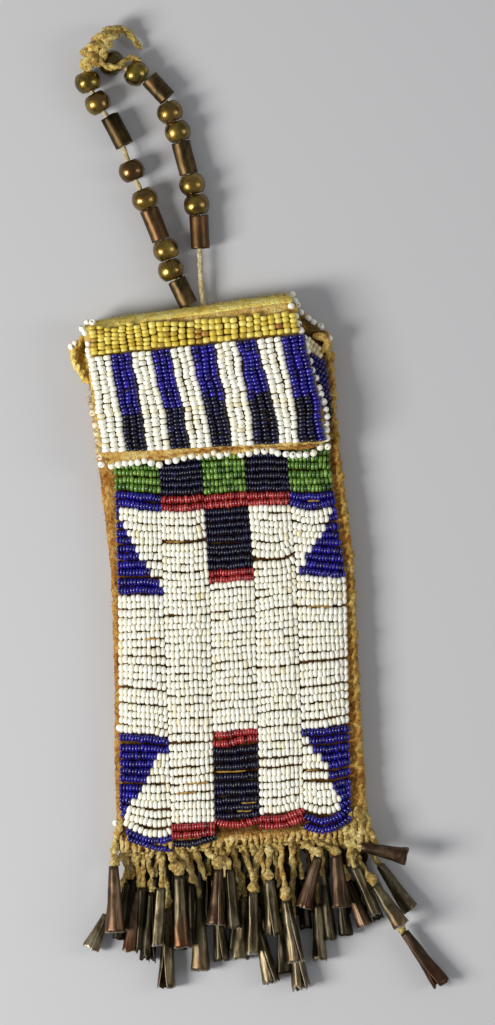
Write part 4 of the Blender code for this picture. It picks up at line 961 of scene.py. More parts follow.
def assemble(name, places, template="solid"):
    """One mesh of many beads. A place is (centre, hole direction, half length, radius, tone)."""
    verts, faces = TEMPLATES[template]
    count = len(places)
    centres = np.array([p[0] for p in places])
    ahead = np.array([p[1] for p in places])
    ahead /= np.linalg.norm(ahead, axis=1)[:, None]
    rough_up = np.where(np.abs(ahead[:, 2:3]) > 0.9, np.array([[0.0, 1.0, 0.0]]), np.array([[0.0, 0.0, 1.0]]))
    side = np.cross(rough_up, ahead)
    side /= np.linalg.norm(side, axis=1)[:, None]
    up = np.cross(ahead, side)
    spin = RNG.uniform(0, math.tau, count)
    cos, sin = np.cos(spin)[:, None], np.sin(spin)[:, None]
    side, up = side * cos + up * sin, up * cos - side * sin
    half = np.array([p[2] for p in places])[:, None]
    radius = np.array([p[3] for p in places])[:, None]
    points = (
        centres[:, None, :]
        + (verts[None, :, 0:1] * (ahead * half)[:, None, :])
        + (verts[None, :, 1:2] * (side * radius)[:, None, :])
        + (verts[None, :, 2:3] * (up * radius)[:, None, :])
    )
    size = len(verts)
    flat = [corner for face in faces for corner in face]
    lengths = [len(face) for face in faces]
    loops = (np.array(flat)[None, :] + (np.arange(count) * size)[:, None]).reshape(-1)
    sizes = np.tile(lengths, count)
    starts = np.concatenate([[0], np.cumsum(sizes)[:-1]])
    mesh = bpy.data.meshes.new(name)
    mesh.vertices.add(count * size)
    mesh.vertices.foreach_set("co", points.reshape(-1))
    mesh.loops.add(len(loops))
    mesh.loops.foreach_set("vertex_index", loops)
    mesh.polygons.add(len(sizes))
    mesh.polygons.foreach_set("loop_start", starts)
    mesh.polygons.foreach_set("loop_total", sizes)
    mesh.update(calc_edges=True)
    mesh.validate()
    layer = mesh.attributes.new("tone", "FLOAT", "POINT")
    layer.data.foreach_set("value", np.repeat([p[4] for p in places], size).astype(np.float32))
    return mesh


def bead_tone(colour):
    """A random tone, with a few odd beads among the rest."""
    middle, spread = BEAD_TONES.get(colour, OTHER_TONES)
    if RNG.random() < ODD_BEADS:
        middle -= 0.3
    return float(np.clip(RNG.normal(middle, spread), 0.0, 1.0))


def add_beads(name, by_colour, body, node):
    """A piece for each colour of a field of beads."""
    for colour, places in by_colour.items():
        finish = f"beads_{COLOURS[colour]}"
        made = link(f"{name}_{COLOURS[colour]}", assemble(name, places), finish, body)
        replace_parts(made, node)


def parse_rows(text):
    """Rows as (pixel height, [(colour, count or None)])."""
    rows = []
    for word in text.split():
        height, rest = re.match(r"([\d.]+)(\w+)", word).groups()
        counts = re.findall(r"([a-z])(\d*)", rest)
        rows.append((float(height), [(colour, int(count) if count else None) for colour, count in counts]))
    return rows


def lane_middle(index, height):
    """Part Y at the middle of a lane, at a pixel height of the photograph."""
    middles = np.array(LANE_MIDDLES[index], dtype=float)
    return from_px(float(np.interp(height, middles[:, 0], middles[:, 1])), height)[1]


def lane_rows(index):
    """All the rows of a lane as (pixel height, Y at its middle, parts), with those that the flap hides."""
    rows = [(height, lane_middle(index, height), parts) for height, parts in parse_rows(LANE_ROWS[index])]
    y = rows[0][1]
    limit = LANE_TOP - (20.0 * MM if index == 4 else 0.0)
    hidden = 0
    while y + HIDDEN_PITCH < limit:
        y += HIDDEN_PITCH
        hidden += 1
        colour = ("g" if index % 2 == 0 else "n") if hidden < 5 else "b" if index in (0, 4) else "n"
        rows.insert(0, (450.0, y, [(colour, None)]))
    return rows


def row_shape(index, height):
    """Slope and sag of a lane's row in the part's own frame."""
    table = np.array(LANE_SHAPES[index], dtype=float)
    slope = float(np.interp(height, table[:, 0], table[:, 1])) + math.tan(TURN)
    return slope, float(np.interp(height, table[:, 0], table[:, 2])) * PX * MM


def lane_wave(x, y, index):
    """The slow waves that neighbouring rows share."""
    return (0.42 * grain(x * 130.0, y * 60.0, index * 5.0)
            + 0.24 * grain(x * 330.0, y * 200.0, index * 9.0)) * MM


def row_place(index, y, slope, sag, x, left, right):
    """Y, height and direction of a row of beads at a place across its lane."""
    middle, half = (left + right) / 2, (right - left) / 2
    share = (x - middle) / half
    place_y = y - slope * (x - middle) + sag * share * share + lane_wave(x, y, index)
    step = 0.4 * MM
    bend = (lane_wave(x + step, y, index) - lane_wave(x - step, y, index)) / (2 * step)
    drop = BEAD_STAND * MM * abs(share) ** ROW_CURVE
    z = front_face(x, place_y) + GAP + BEAD_STAND * MM - drop
    rise = (front_face(x + step, place_y) - front_face(x - step, place_y)) / (2 * step)
    rise -= math.copysign(BEAD_STAND * ROW_CURVE * abs(share) ** (ROW_CURVE - 1), share) / half * MM
    return place_y, z, (1.0, -slope + 2 * sag * share / half + bend, rise)


def bead_lanes():
    for index in range(5):
        by_colour = {}
        rows = lane_rows(index)
        foot = rows[-1][0] - 30.0
        heights = [y for _, y, _ in rows]
        for number, (height, y, parts) in enumerate(rows):
            near = heights[max(number - 1, 0):number + 2]
            thick = (near[0] - near[-1]) / (len(near) - 1) / 2
            thick = min(max(thick * 1.04, 1.05 * MM), 1.31 * MM)
            slope, sag = row_shape(index, height)
            left, right = lane_span(index, y)
            if index == 0:
                left += 2.2 * MM * min(max((height - foot) / 26.0, 0.0), 1.0)
            colours, widths = row_colours(parts, right - left)
            ends = left + np.concatenate([[0.0], np.cumsum(widths)]) / widths.sum() * (right - left)
            for i, colour in enumerate(colours):
                x = (ends[i] + ends[i + 1]) / 2
                place_y, z, way = row_place(index, y, slope, sag, x, left, right)
                way = (way[0], way[1] + RNG.normal(0, 0.07), way[2] + RNG.normal(0, 0.06))
                half = (ends[i + 1] - ends[i]) / 2 * 0.985
                radius = thick * (1 + RNG.normal(0, 0.055)) * (0.98 if colour != "w" else 1.0)
                place = (x, place_y + RNG.normal(0, 0.10 * MM), z + RNG.normal(0, 0.08 * MM))
                by_colour.setdefault(colour, []).append((place, way, half, radius, bead_tone(colour)))
        if index == 4:
            shoulder_rows(by_colour)
        add_beads(f"lane_{index + 1}", by_colour, "pouch", f"bead_lane_{index + 1}")
    bare_lines()


def row_colours(parts, width):
    """The colour and the relative width of each bead of a row."""
    colours, widths = [], []
    left = width
    for colour, number_of in parts:
        share = left if number_of is None else min(number_of * BEAD_PITCH, left)
        if colour == parts[-1][0]:
            share = left
        count = round(share / PITCHES[colour])
        if not count:
            continue
        colours += [colour] * count
        widths += [share / count * (1.0 + RNG.normal(0, 0.07)) for _ in range(count)]
        left -= share
    return colours, np.array(widths)


def shoulder_rows(by_colour):
    """The slanting rows at the top of the fifth lane, which show beside the flap."""
    for u0, v0, u1, v1, colour in SHOULDER_ROWS:
        x0, y0 = from_px(u0 - 3, v0 - 2)
        x1, y1 = from_px(u1, v1)
        length = math.dist((x0, y0), (x1, y1))
        count = max(3, round(length / (1.35 * MM if colour == "w" else BEAD_PITCH)))
        for i in range(count):
            t = (i + 0.5) / count
            x, y = x0 + (x1 - x0) * t, y0 + (y1 - y0) * t
            z = front_face(x, y) + GAP + 0.75 * MM - 0.5 * MM * t ** 2
            way = (x1 - x0, y1 - y0, RNG.normal(0, 0.0004))
            tone = RNG.uniform(0.05, 0.4) if colour == "w" else bead_tone(colour) * 0.5
            by_colour.setdefault(colour, []).append(((x, y, z), way, length / count / 2, 1.08 * MM, tone))


def bare_lines():
    """Slivers of hide that stand up between rows that are further apart."""
    parts = []
    for number, (index, height, first, last) in enumerate(BARE_LINES):
        y = lane_middle(index, height)
        slope, sag = row_shape(index, height)
        left, right = lane_span(index, y)
        start, end = left + (right - left) * first, left + (right - left) * last
        points = []
        for i in range(8):
            x = start + (end - start) * i / 7
            place_y, z, _ = row_place(index, y, slope, sag, x, left, right)
            points.append(Vector((x, place_y, z + 0.62 * MM)))
        radii = [0.12] + [0.26] * 6 + [0.12]
        parts.append(strand(points, radii, 0.6 * MM, 5 * MM, 0.2, 6, number * 2.0, 0.3))
    add_piece("lane_hide_slivers", parts, "welt_hide", "pouch", "hide", "front_panel")


def lerp2(a, b, share):
    return (a[0] + (b[0] - a[0]) * share, a[1] + (b[1] - a[1]) * share)


def stripe_share(column, depth):
    """Share across the flap at a column's middle and the share of its width, at a depth from 0 to 1."""
    stripe, third = divmod(column, 3)
    low = STRIPE_TOPS[stripe] + (STRIPE_FEET[stripe] - STRIPE_TOPS[stripe]) * depth
    high = STRIPE_TOPS[stripe + 1] + (STRIPE_FEET[stripe + 1] - STRIPE_TOPS[stripe + 1]) * depth
    return low + (high - low) * (third + 0.5) / 3, (high - low) / 3


def flap_beads():
    for field, corners, columns, node in FLAP_FIELDS:
        by_colour = {}
        for column in range(columns):
            flap_column(field, corners, columns, column, by_colour)
        add_beads(f"flap_{field}", by_colour, "flap", node)


def flap_column(field, corners, columns, column, by_colour):
    """One string of beads of a field, from its top down."""
    top_left, top_right, foot_left, foot_right = corners
    stripe = "y" if field == "yellow" else STRIPES[column // 3]
    pitch = {
        "y": 1.28 if column < 8 else RNG.uniform(1.55, 1.95), "w": RNG.uniform(1.4, 1.7), "b": 1.26,
    }[stripe]
    share, width = (column + 0.5) / columns, 1 / columns
    high = RNG.normal(0, 0.35) if field == "yellow" else RNG.normal(0, 0.15)
    length = math.dist(lerp2(top_left, top_right, share), lerp2(foot_left, foot_right, share)) + high
    count = round(length / pitch)
    bow = RNG.normal(0, 0.15)
    for i in range(count):
        t = (i + 0.5 + RNG.normal(0, 0.06)) / count
        if field != "yellow":
            share, width = stripe_share(column, t * 0.58 if field == "upper" else 0.58 + t * 0.42)
        start, end = lerp2(top_left, top_right, share), lerp2(foot_left, foot_right, share)
        across, down = lerp2(start, end, t)
        down -= high * (1 - t)
        across += bow * math.sin(math.pi * t) + RNG.normal(0, 0.09)
        across += 0.7 * grain(across * 0.10, down * 0.18, 3.0)
        colour = stripe
        if stripe == "b" and down > NAVY_FROM[column // 6] + RNG.normal(0, 0.3) and column != 29:
            colour = "n"
        x, y = flap_point(across * MM, down * MM)
        z = flap_height(across * MM, down * MM) + 0.98 * MM - 0.4 * MM * abs(2 * t - 1) ** 4
        if down < 0:
            z -= 0.12 * MM * down ** 2
        x0, y0 = flap_point(start[0] * MM, start[1] * MM)
        x1, y1 = flap_point(end[0] * MM, end[1] * MM)
        tone = bead_tone(colour)
        if colour == "y" and across > 0:
            tone *= 0.15 if math.hypot(across - 2.5, (down - 6.9) * 1.3) < 2.6 else 1.0
        if colour == "w" and field == "lower" and t < 0.12:
            tone *= 0.6
        lateral = (top_right[0] - top_left[0]) * width / 2 * MM * 1.05 * (1 + RNG.normal(0, 0.06))
        sway = math.dist((x0, y0), (x1, y1)) * (0.11 if stripe == "w" else 0.05)
        way = (x1 - x0 + RNG.normal(0, sway), y1 - y0, RNG.normal(0, sway * 0.6))
        half = length / count / 2 * MM * 0.98
        by_colour.setdefault(colour, []).append(((x, y, z), way, half, lateral, tone))


def edge_bead(u, v, z, lean=1.05, tone=None):
    """An edge bead over a pixel, whose hole lies almost level and points at random."""
    turn = RNG.uniform(0, math.tau)
    tilt = RNG.normal(lean, 0.35)
    way = (math.cos(turn) * math.sin(tilt), math.sin(turn) * math.sin(tilt), math.cos(tilt))
    place = px_point(u + RNG.normal(0, 0.25), v + RNG.normal(0, 0.25), z)
    size = EDGE_BEAD_RADIUS * (1 + RNG.normal(0, 0.05))
    return (tuple(place), way, size * 0.84, size, bead_tone("w") if tone is None else tone)


def add_edge_beads(side, places):
    return link(f"{side}_edge_ring_beads", assemble(side, places, "ring"), "beads_white", side)


def edge_beads():
    """The white beads sewn along the flap, the mouth's ear and the shoulder, and two strays."""
    places = []
    for line, tone in ((FLAP_RIGHT_EDGE, None), (FLAP_FOOT_EDGE, None), (FLAP_LEFT_EDGE, 0.25)):
        for number, (u, v) in enumerate(line):
            x, y = from_px(u, v)
            across, down = flap_place(x, y)
            z = flap_height(across, max(down, 0.0)) / MM - 0.35
            dull = RNG.uniform(0.0, 0.3) if tone and number > 6 else None
            inward = 2.2 if dull is not None else 0.0
            places.append(edge_bead(u + inward, v, z if down > 0 else z - 0.25 * (down / MM) ** 2, tone=dull))
    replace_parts(add_edge_beads("flap", places), "flap_edge_beads")
    # Painted light: the shoulder's beads take a fixed pale tone so that they look lit where the fold shades
    # them.
    places = [edge_bead(u, v, 3.2, tone=0.92) for u, v in SHOULDER_EDGE]
    places += [edge_bead(71.8, 346.4, 6.2), edge_bead(75.6, 342.4, 6.4), edge_bead(119.4, 727.5, 7.6, 0.1),
               edge_bead(116.2, 823.4, 6.4)]
    add_edge_beads("pouch", places)


def sheet_between(name, node, plan, top_of, thick, rows, cols, finish, body, shade_of, extra=()):
    """A hide over a plan, a function from shares (across, up) to X and Y."""
    top = np.zeros((rows + 1, cols + 1, 3))
    bottom = np.zeros_like(top)
    for i in range(rows + 1):
        for j in range(cols + 1):
            x, y = plan(j / cols, i / rows)
            z = top_of(x, y)
            top[i, j] = (x, y, z)
            bottom[i, j] = (x, y, z - thick)
    parts = [shell(top, bottom)] + list(extra)
    shade = [shade_of(x, y) for x, y, _ in joined(parts)[0]]
    add_piece(name, parts, finish, body, "hide", node, shade=shade)


def back_plan(share, up):
    """The back hide's outline: it runs to the fold, with an ear at the left and a cut shoulder."""
    tilt = max(0.0, up - 0.86) / 0.14
    low, high = SEAM_Y + 1.5 * MM, 85.2 * MM
    y0 = low + (high - low) * up
    left_y = y0 - tilt * 2.6 * MM
    right_y = y0 + tilt * 1.6 * MM
    left = edge_x(0, left_y) + 0.8 * MM
    right = edge_x(1, right_y) - 0.8 * MM
    if right_y > 74.5 * MM:
        right = (39.7 + (26.5 - 39.7) * min((right_y / MM - 74.5) / 12.0, 1.0)) * MM
    x = left + (right - left) * share
    return x, left_y + (right_y - left_y) * share


def front_plan(share, up):
    low, high = SEAM_Y + 1.5 * MM, MOUTH_ABOVE
    y = low + (high - low) * up
    left, right = edge_x(0, y) + 1.2 * MM, edge_x(1, y) - 1.2 * MM
    share = 0.55 * share + 0.45 * (0.5 - 0.5 * math.cos(math.pi * share))
    return left + (right - left) * share, y


def flap_plan(share, up):
    """The flap's outline, drawn in round its corners, from its foot up."""
    outline = [(FOLD_HALF_WIDTH * a, FLAP_LENGTH * d) for a, d in FLAP_OUTLINE_SHARES]
    top_left, foot_left, foot_right, top_right = outline
    left, right = lerp2(foot_left, top_left, up), lerp2(foot_right, (top_right[0], 0.0), up)
    across, down = lerp2(left, right, share)
    knee = 4.0 * MM
    from_foot = up * FLAP_LENGTH if up < 1 else 0.0
    if from_foot < knee:
        inset = knee - math.sqrt(max(knee ** 2 - (knee - from_foot) ** 2, 0.0))
        width = right[0] - left[0]
        across = left[0] + inset + (across - left[0]) * (width - 2 * inset) / width
    if share in (0.0, 1.0):
        across += 0.35 * MM * grain(down * 500, across * 20, 1.0)
    return flap_point(across, down)


def under_beads(x, y):
    """How far the front hide lies in the shade of the lanes of beads."""
    inside = min(x - lane_edge(0, y), lane_edge(5, y) - x, y - (SEAM_Y + 3.2 * MM)) / (0.8 * MM)
    return 0.88 * min(max(inside, 0.0), 1.0)


def shoulder_hollow_shade(x, y):
    """How far the back hide is darkened: painted shade in the hollow at its right shoulder, and a little all
    over.
    """
    u, v = 31.0 * MM, 70.4 * MM
    away = math.hypot((x - u) / (3.6 * MM), (y - v) / (2.4 * MM))
    return 0.85 * max(0.0, 1.0 - away) ** 0.5 + 0.2


def under_flap_beads(x, y):
    """How far the flap's hide lies in the shade of its columns of beads."""
    across, down = flap_place(x, y)
    share = (across / MM - LOWER_FIELD[2][0]) / (LOWER_FIELD[3][0] - LOWER_FIELD[2][0])
    top, foot = -1.0 + 4.2 * share, LOWER_FIELD[2][1] + (LOWER_FIELD[3][1] - LOWER_FIELD[2][1]) * share
    inside = min(across - (YELLOW_FIELD[0][0] + 0.5) * MM, (LOWER_FIELD[1][0] - 0.6) * MM - across,
                 foot * MM - down, down - (top + 0.4) * MM) / (0.6 * MM)
    return 0.8 * min(max(inside, 0.0), 1.0)


def flap_top(x, y):
    """Height of the flap's hide with the roughness of its nap."""
    across, down = flap_place(x, y)
    rough = 0.14 * noise.noise(Vector((x, y, 4.0)) * 500.0) + 0.1 * noise.noise(Vector((x, y, 9.0)) * 1200.0)
    return flap_height(across, down) + rough * MM


def hides():
    sheet_between("back_hide", "back_panel", back_plan, lambda x, y: back_face(x, y) + HIDE, HIDE, 120, 60,
                  "suede", "pouch", shoulder_hollow_shade)
    sheet_between("front_hide", "front_panel", front_plan, front_hide_face, FRONT_HIDE, 170, 110,
                  "hide", "pouch", under_beads)
    left_line = [px_point(u, v, 11.6) for u, v in FLAP_LEFT_EDGE[2:]]
    fuzz = nap(left_line, Vector((-0.8, 0.1, 0.5)), 150, 1.1 * MM)
    sheet_between("flap_leather", "flap_hide", flap_plan, flap_top, HIDE, 64, 74, "suede", "flap",
                  under_flap_beads, fuzz)
    flap_foot_strip()
    fold_section()
    side_edges()
    bottom_edge()
    mouth_ear()
    shoulder_roll()


def flap_foot_strip():
    """The rough strip of hide that binds the flap's foot."""
    points = [px_point(u, v + 1.2, 12.1) for u, v in FLAP_FOOT_LINE]
    radii = [1.05 * (0.55 + 0.18 * math.sin(i * 2.3)) / 0.6 * 0.62 for i in range(len(points))]
    parts = [strand(points, radii, 0.4 * MM, 7 * MM, 0.22, 10, 2.0, 0.45)]
    parts += nap(points, Vector((0.0, -0.8, 0.5)), 170, 0.9 * MM, spread=0.7)
    add_piece("flap_foot_binding", parts, "hide_orange", "flap", "hide", "flap_hide")


def fold_section():
    """The soft bend of hide from the back panel over to the flap, with its nap."""
    steps, cols = 24, 120
    outer, inner = np.zeros((steps + 1, cols + 1, 3)), np.zeros((steps + 1, cols + 1, 3))
    for i in range(steps + 1):
        turn = math.pi * (i / steps - 0.5)
        for j in range(cols + 1):
            across = (j / cols * 2 - 1) * FOLD_HALF_WIDTH
            soft = 0.45 * grain(across * 90, i * 0.16, 4.0)
            soft += 0.16 * grain(across * 700, i * 0.5, 8.0)
            end = 1.0 - 0.25 * abs(j / cols * 2 - 1) ** 6
            rows = ((outer, FOLD_BULGE, FOLD_HEIGHT / 2), (inner, FOLD_BULGE - HIDE, FOLD_HEIGHT / 2 - HIDE))
            for grid, bulge, half in rows:
                out = (bulge + soft * MM) * math.cos(turn) * end
                x, y = flap_point(across, -out)
                grid[i, j] = (x, y, FOLD_HEIGHT / 2 + half * math.sin(turn))
    line = []
    for j in range(40):
        across = (j / 39 * 2 - 1) * FOLD_HALF_WIDTH * 0.99
        line.append(Vector((*flap_point(across, -FOLD_BULGE * 0.8), 9.6 * MM)))
    low_line = [Vector((p.x, p.y + 0.4 * MM, 6.5 * MM)) for p in line]
    fuzz = nap(line, Vector((0.0, 0.75, 0.6)), 420, 0.95 * MM, spread=0.5)
    for start, end, count in ((2.0 * MM, math.inf, 200), (-math.inf, -14.0 * MM, 170)):
        stretch = [p for p in low_line if start < p.x < end]
        fuzz += nap(stretch, Vector((0.0, 1.0, 0.1)), count, 1.2 * MM, spread=0.5)
    fold = add_piece("fold_hide", [shell(outer, inner)] + fuzz, "fold_gold", None, "hide", "flap_fold")
    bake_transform(fold)


def lumpy_rings(path, wide, high, lump, depth, sides, seed):
    """Rings of a rolled edge with swellings of about a given length, flat or round."""
    rings = []
    walked = 0.0
    for i, (point, (ahead, _, _)) in enumerate(zip(path, frames_on(path))):
        if i:
            walked += (point - path[i - 1]).length
        out = ahead.cross(UP).normalized()
        ring = []
        swell = depth * grain(walked / lump * 1.7, seed, 2.0)
        for k in range(sides):
            angle = math.tau * k / sides
            c, s = math.cos(angle), math.sin(angle)
            rough = 0.16 * grain(walked * 700, c * 2 + seed, s * 2)
            rough += 0.10 * grain(walked * 1900, c * 4 + seed, s * 4)
            scale = 1.0 + swell + rough
            ring.append(point + out * c * wide * scale + UP * s * high * scale)
        rings.append(ring)
    return rings


def stitches(path, high, pitch, slant, radius, arc, seed):
    """Slanting stitches that wrap over an edge between two angles from the outer side."""
    parts = []
    total = path_length(path)
    place = pitch * 0.5
    while place < total - pitch * 0.4:
        point, ahead = along(path, place)
        out = ahead.cross(UP).normalized()
        lean = slant * RNG.uniform(0.6, 1.3)
        points = []
        for i in range(7):
            angle = math.radians(arc[0] + (arc[1] - arc[0]) * i / 6)
            points.append(point + out * math.cos(angle) * STITCH_REACH + UP * math.sin(angle) * high
                          + ahead * lean * (i / 6 - 0.5))
        size = radius * RNG.uniform(0.75, 1.3)
        radii = [size * 0.6] + [size] * 5 + [size * 0.6]
        parts.append(strand(points, radii, 0.55 * MM, 4 * MM, 0.15, 7, seed + len(parts), 0.3))
        place += pitch * RNG.uniform(0.75, 1.3)
    return parts


def side_edges():
    """The pouch's two whipped side edges."""
    for side, name in ((0, "left"), (1, "right")):
        low = SEAM_Y + 0.5 * MM
        high = MOUTH_ABOVE if side == 0 else 74.2 * MM
        inward = 1.45 * MM if side == 0 else -1.45 * MM
        count = round((high - low) / (0.5 * MM))
        path = []
        for i in range(count + 1):
            y = low + (high - low) * i / count
            wobble = 0.35 * MM * grain(y * 160, side * 7.0, 3.0)
            path.append(Vector((edge_x(side, y) + inward + wobble, y, 3.5 * MM)))
        parts = [rings_mesh(lumpy_rings(path, 1.4 * MM, 2.3 * MM, 5 * MM, 0.25, 16, side * 3.7))]
        if side == 0:
            parts += stitches(path, 2.4 * MM, 3.0 * MM, 2.4 * MM, 0.72, (152, 50), 0.0)
        else:
            rope = []
            for i in range(38):
                y = (-78.5 + 4.0 * i) * MM
                x = 0.35 * lane_edge(5, y) + 0.65 * edge_x(1, y)
                rope.append(Vector((x, y, front_face(x, y) - 0.45 * MM)))
            radii = [1.05 + 0.25 * math.sin(i * 1.9) for i in range(38)]
            parts.append(strand(rope, radii, 0.4 * MM, 8.5 * MM, 0.34, 14, 31.0, 0.42))
        way = Vector((-1.0 if side == 0 else 1.0, 0.0, 0.5))
        line = [Vector((p.x + way.x * 1.2 * MM, p.y, 4.4 * MM)) for p in path[::4]]
        parts += nap(line, way, 260, 0.9 * MM, spread=0.7)
        finish = "welt_hide" if side else "hide_orange"
        add_piece(f"whipped_edge_{name}", parts, finish, "pouch", "hide", f"side_welt_{name}")


def bottom_edge():
    left, right = edge_x(0, SEAM_Y) + 0.6 * MM, edge_x(1, SEAM_Y) - 0.6 * MM
    count = round((right - left) / (0.5 * MM))
    across = [left + (right - left) * i / count for i in range(count + 1)]
    path = [Vector((x, SEAM_Y + 1.4 * MM, 3.6 * MM)) for x in across]
    parts = [rings_mesh(lumpy_rings(path, 1.25 * MM, 2.6 * MM, 4 * MM, 0.28, 14, 9.1))]
    parts += stitches(path, 2.5 * MM, 3.1 * MM, 2.0 * MM, 0.75, (30, 130), 90.0)
    add_piece("whipped_edge_bottom", parts, "hide", "pouch", "hide", "bottom_welt")
    parts = []
    roots = [x for x, _ in thong_roots()]
    between = [x + RNG.uniform(1.5, 2.4) * MM for x in roots[:-1]]
    for i, x in enumerate(roots + between):
        length = RNG.uniform(3.4, 5.8) * MM
        lean = RNG.uniform(-0.22, 0.22)
        half = Vector((math.sin(lean), -math.cos(lean), 0.0)) * length / 2
        y = SEAM_Y - 0.1 * MM + length / 2
        points = []
        for share, lift in ((-1.0, 0.0), (0.0, 0.3), (1.0, 0.35)):
            place = Vector((x, y, 0.0)) + half * share
            points.append(Vector((place.x, place.y, min(front_face(place.x, place.y), 7.4 * MM) + lift * MM)))
        size = RNG.uniform(0.75, 1.1) * (1.0 if i < len(roots) else 0.8)
        parts.append(strand(points, [size * 0.4, size, size], 0.4 * MM, 7.5 * MM, 0.22, 10, i * 2.1, 0.3))
    line = [Vector((x * MM, -82.2 * MM, front_face(x * MM, -82.2 * MM))) for x in range(-36, 38, 2)]
    parts += nap(line, Vector((0.0, -0.3, 0.8)), 420, 1.5 * MM, spread=0.9, deep=0.4 * MM)
    points = px_line((122, 819, 6.0), (120, 826, 7.0), (117.5, 833, 6.8), (116, 838.5, 5.8))
    parts.append(strand(points, [0.8, 1.15, 1.2, 0.9], 0.4 * MM, 4.5 * MM, 0.22, 12, 77.0, 0.3))
    add_piece("seam_lumps", parts, "thong_gold", "pouch", "hide", "bottom_welt")


def mouth_ear():
    """The ear of hide that stands out at the mouth's left, with its rolled rim."""
    points = [px_point(u, v, 6.0 - 1.5 * i / 9) for i, (u, v) in enumerate(EAR_RIM)]
    radii = [0.9, 1.1, 1.15, 1.15, 1.1, 1.1, 1.1, 1.1, 1.0, 0.8]
    parts = [strand(points, radii, 0.4 * MM, 5 * MM, 0.16, 12, 3.0, 0.5)]
    rows, cols = 40, 22
    path = smooth_path(points)
    total = path_length(path)
    top = np.zeros((rows + 1, cols + 1, 3))
    for i in range(rows + 1):
        outer, _ = along(path, total * i / rows)
        inner = px_point(93.0, 337 + 48 * i / rows, 5.0)
        for j in range(cols + 1):
            share = j / cols
            point = outer.lerp(inner, share)
            depth = 2.4 - 1.5 * min(max((i / rows - 0.35) / 0.3, 0.0), 1.0)
            dip = depth * math.sin(math.pi * min(share * 1.15, 1.0)) + 0.4 * noise.noise(point * 500)
            dip += 0.35 * noise.noise(point * 1100)
            top[i, j] = (point.x, point.y, point.z - dip * MM)
    bottom = top.copy()
    bottom[:, :, 2] -= 0.9 * MM
    parts.append(shell(top, bottom))
    parts += nap(points, Vector((-0.9, 0.1, 0.4)), 420, 0.9 * MM, spread=0.8)
    across = [px_point(u + 4.0, v + 1.0, 6.0 - 1.5 * i / 9) for i, (u, v) in enumerate(EAR_RIM[2:])]
    parts += nap(across, Vector((-0.4, 0.0, 0.9)), 260, 0.8 * MM, spread=0.9)
    hollow = px_line((85.5, 341, 0), (87.0, 346, 0), (88.0, 352, 0))
    shade = []
    for x, y, _ in joined(parts)[0]:
        away = min((Vector((x, y, 0.0)) - place).length for place in hollow)
        shade.append(0.85 * max(0.0, 1.0 - away / (1.9 * MM)) ** 0.5)
    add_piece("mouth_ear", parts, "ear_hide", "pouch", "hide", "back_panel", shade=shade)


def shoulder_roll():
    """The pale rolled strip at the back hide's right shoulder."""
    points = px_line((313, 336, 8.6), (321, 336.5, 8.9), (327, 340.5, 8.6), (326.5, 346, 7.8),
                     (321, 352.5, 7.2))
    parts = [strand(points, [0.9, 1.25, 1.3, 1.2, 0.8], 0.4 * MM, 9 * MM, 0.10, 14, 5.0, 0.16)]
    points = px_line((327.5, 339, 6.2), (328.5, 352, 6.0), (330.5, 372, 5.6), (333, 395, 5.2))
    parts.append(strand(points, [0.8, 1.25, 1.3, 1.2], 0.4 * MM, 8 * MM, 0.22, 12, 15.0, 0.35))
    line = px_line((329, 337, 5.0), (331.5, 352, 5.0), (333, 372, 5.0), (335.5, 395, 5.0))
    parts += nap(line, Vector((0.8, 0.2, 0.5)), 60, 0.9 * MM, spread=0.7)
    add_piece("shoulder_roll", parts, "welt_hide", "pouch", "hide", "back_panel")


def in_metres(route):
    return [Vector((x, y, z)) * MM + Vector((0.0, FLAP_AXIS.y, 0.0)) for x, y, z in route]


def strung_pieces():
    """Length, centre and direction of every bead and tube of the handle, by name."""
    pieces = {}
    for strung, route in ((STRUNG_LEFT, LEFT_ROUTE), (STRUNG_RIGHT, RIGHT_ROUTE)):
        path = smooth_path(in_metres(route))
        walked = INSIDE_FOLD
        for name, length, gap in strung:
            walked += gap * MM + length / 2
            pieces[name] = (length, *along(path, walked))
            walked += length / 2
    return pieces


def place_on(centre, direction):
    """Matrix that stands local Z along a direction at a centre."""
    return Matrix.Translation(centre) @ direction.to_track_quat("Z", "Y").to_matrix().to_4x4()


def brass_bead(centre, direction, seed):
    """A round bead with a bore, worn rims and small dents."""
    radius, half, bore = BRASS_BEAD / 2, BRASS_BEAD_LENGTH / 2, 1.4 * MM
    profile = [(bore, half - 0.9 * MM), (bore, -half + 0.9 * MM), (bore + 0.1 * MM, -half + 0.2 * MM)]
    profile += [(bore + 0.35 * MM, -half)]
    start = math.asin(half / radius * 0.985)
    steps = 20
    for i in range(steps + 1):
        turn = -start + 2 * start * i / steps
        profile.append((radius * math.cos(turn), radius * math.sin(turn)))
    profile += [(bore + 0.35 * MM, half), (bore + 0.1 * MM, half - 0.2 * MM)]
    sides = 36
    matrix = place_on(centre, direction)
    rings, shades = [], []
    for r, z in profile:
        ring = []
        for k in range(sides):
            angle = math.tau * k / sides
            c, s = math.cos(angle), math.sin(angle)
            dent = 1.0 + 0.022 * grain(c * 1.5, s * 1.5, z * 400 + seed)
            dent += 0.010 * grain(c * 5, s * 5, z * 1200 + seed)
            ring.append(matrix @ Vector((r * dent * c, r * dent * s, z)))
        rings.append(ring)
        shades += [1.0 if r < bore + 0.05 * MM else 0.45 if r < bore + 0.3 * MM else 0.0] * sides
    return (*rings_mesh(rings, bore=True), np.array(shades))


def shell_values(grid, inner):
    """Values for the points of a shell: its outer grid, inner grid and rim."""
    rim = [grid[place] for place in rim_places(*grid.shape)]
    return np.concatenate([grid.reshape(-1), inner.reshape(-1), np.array(rim)])


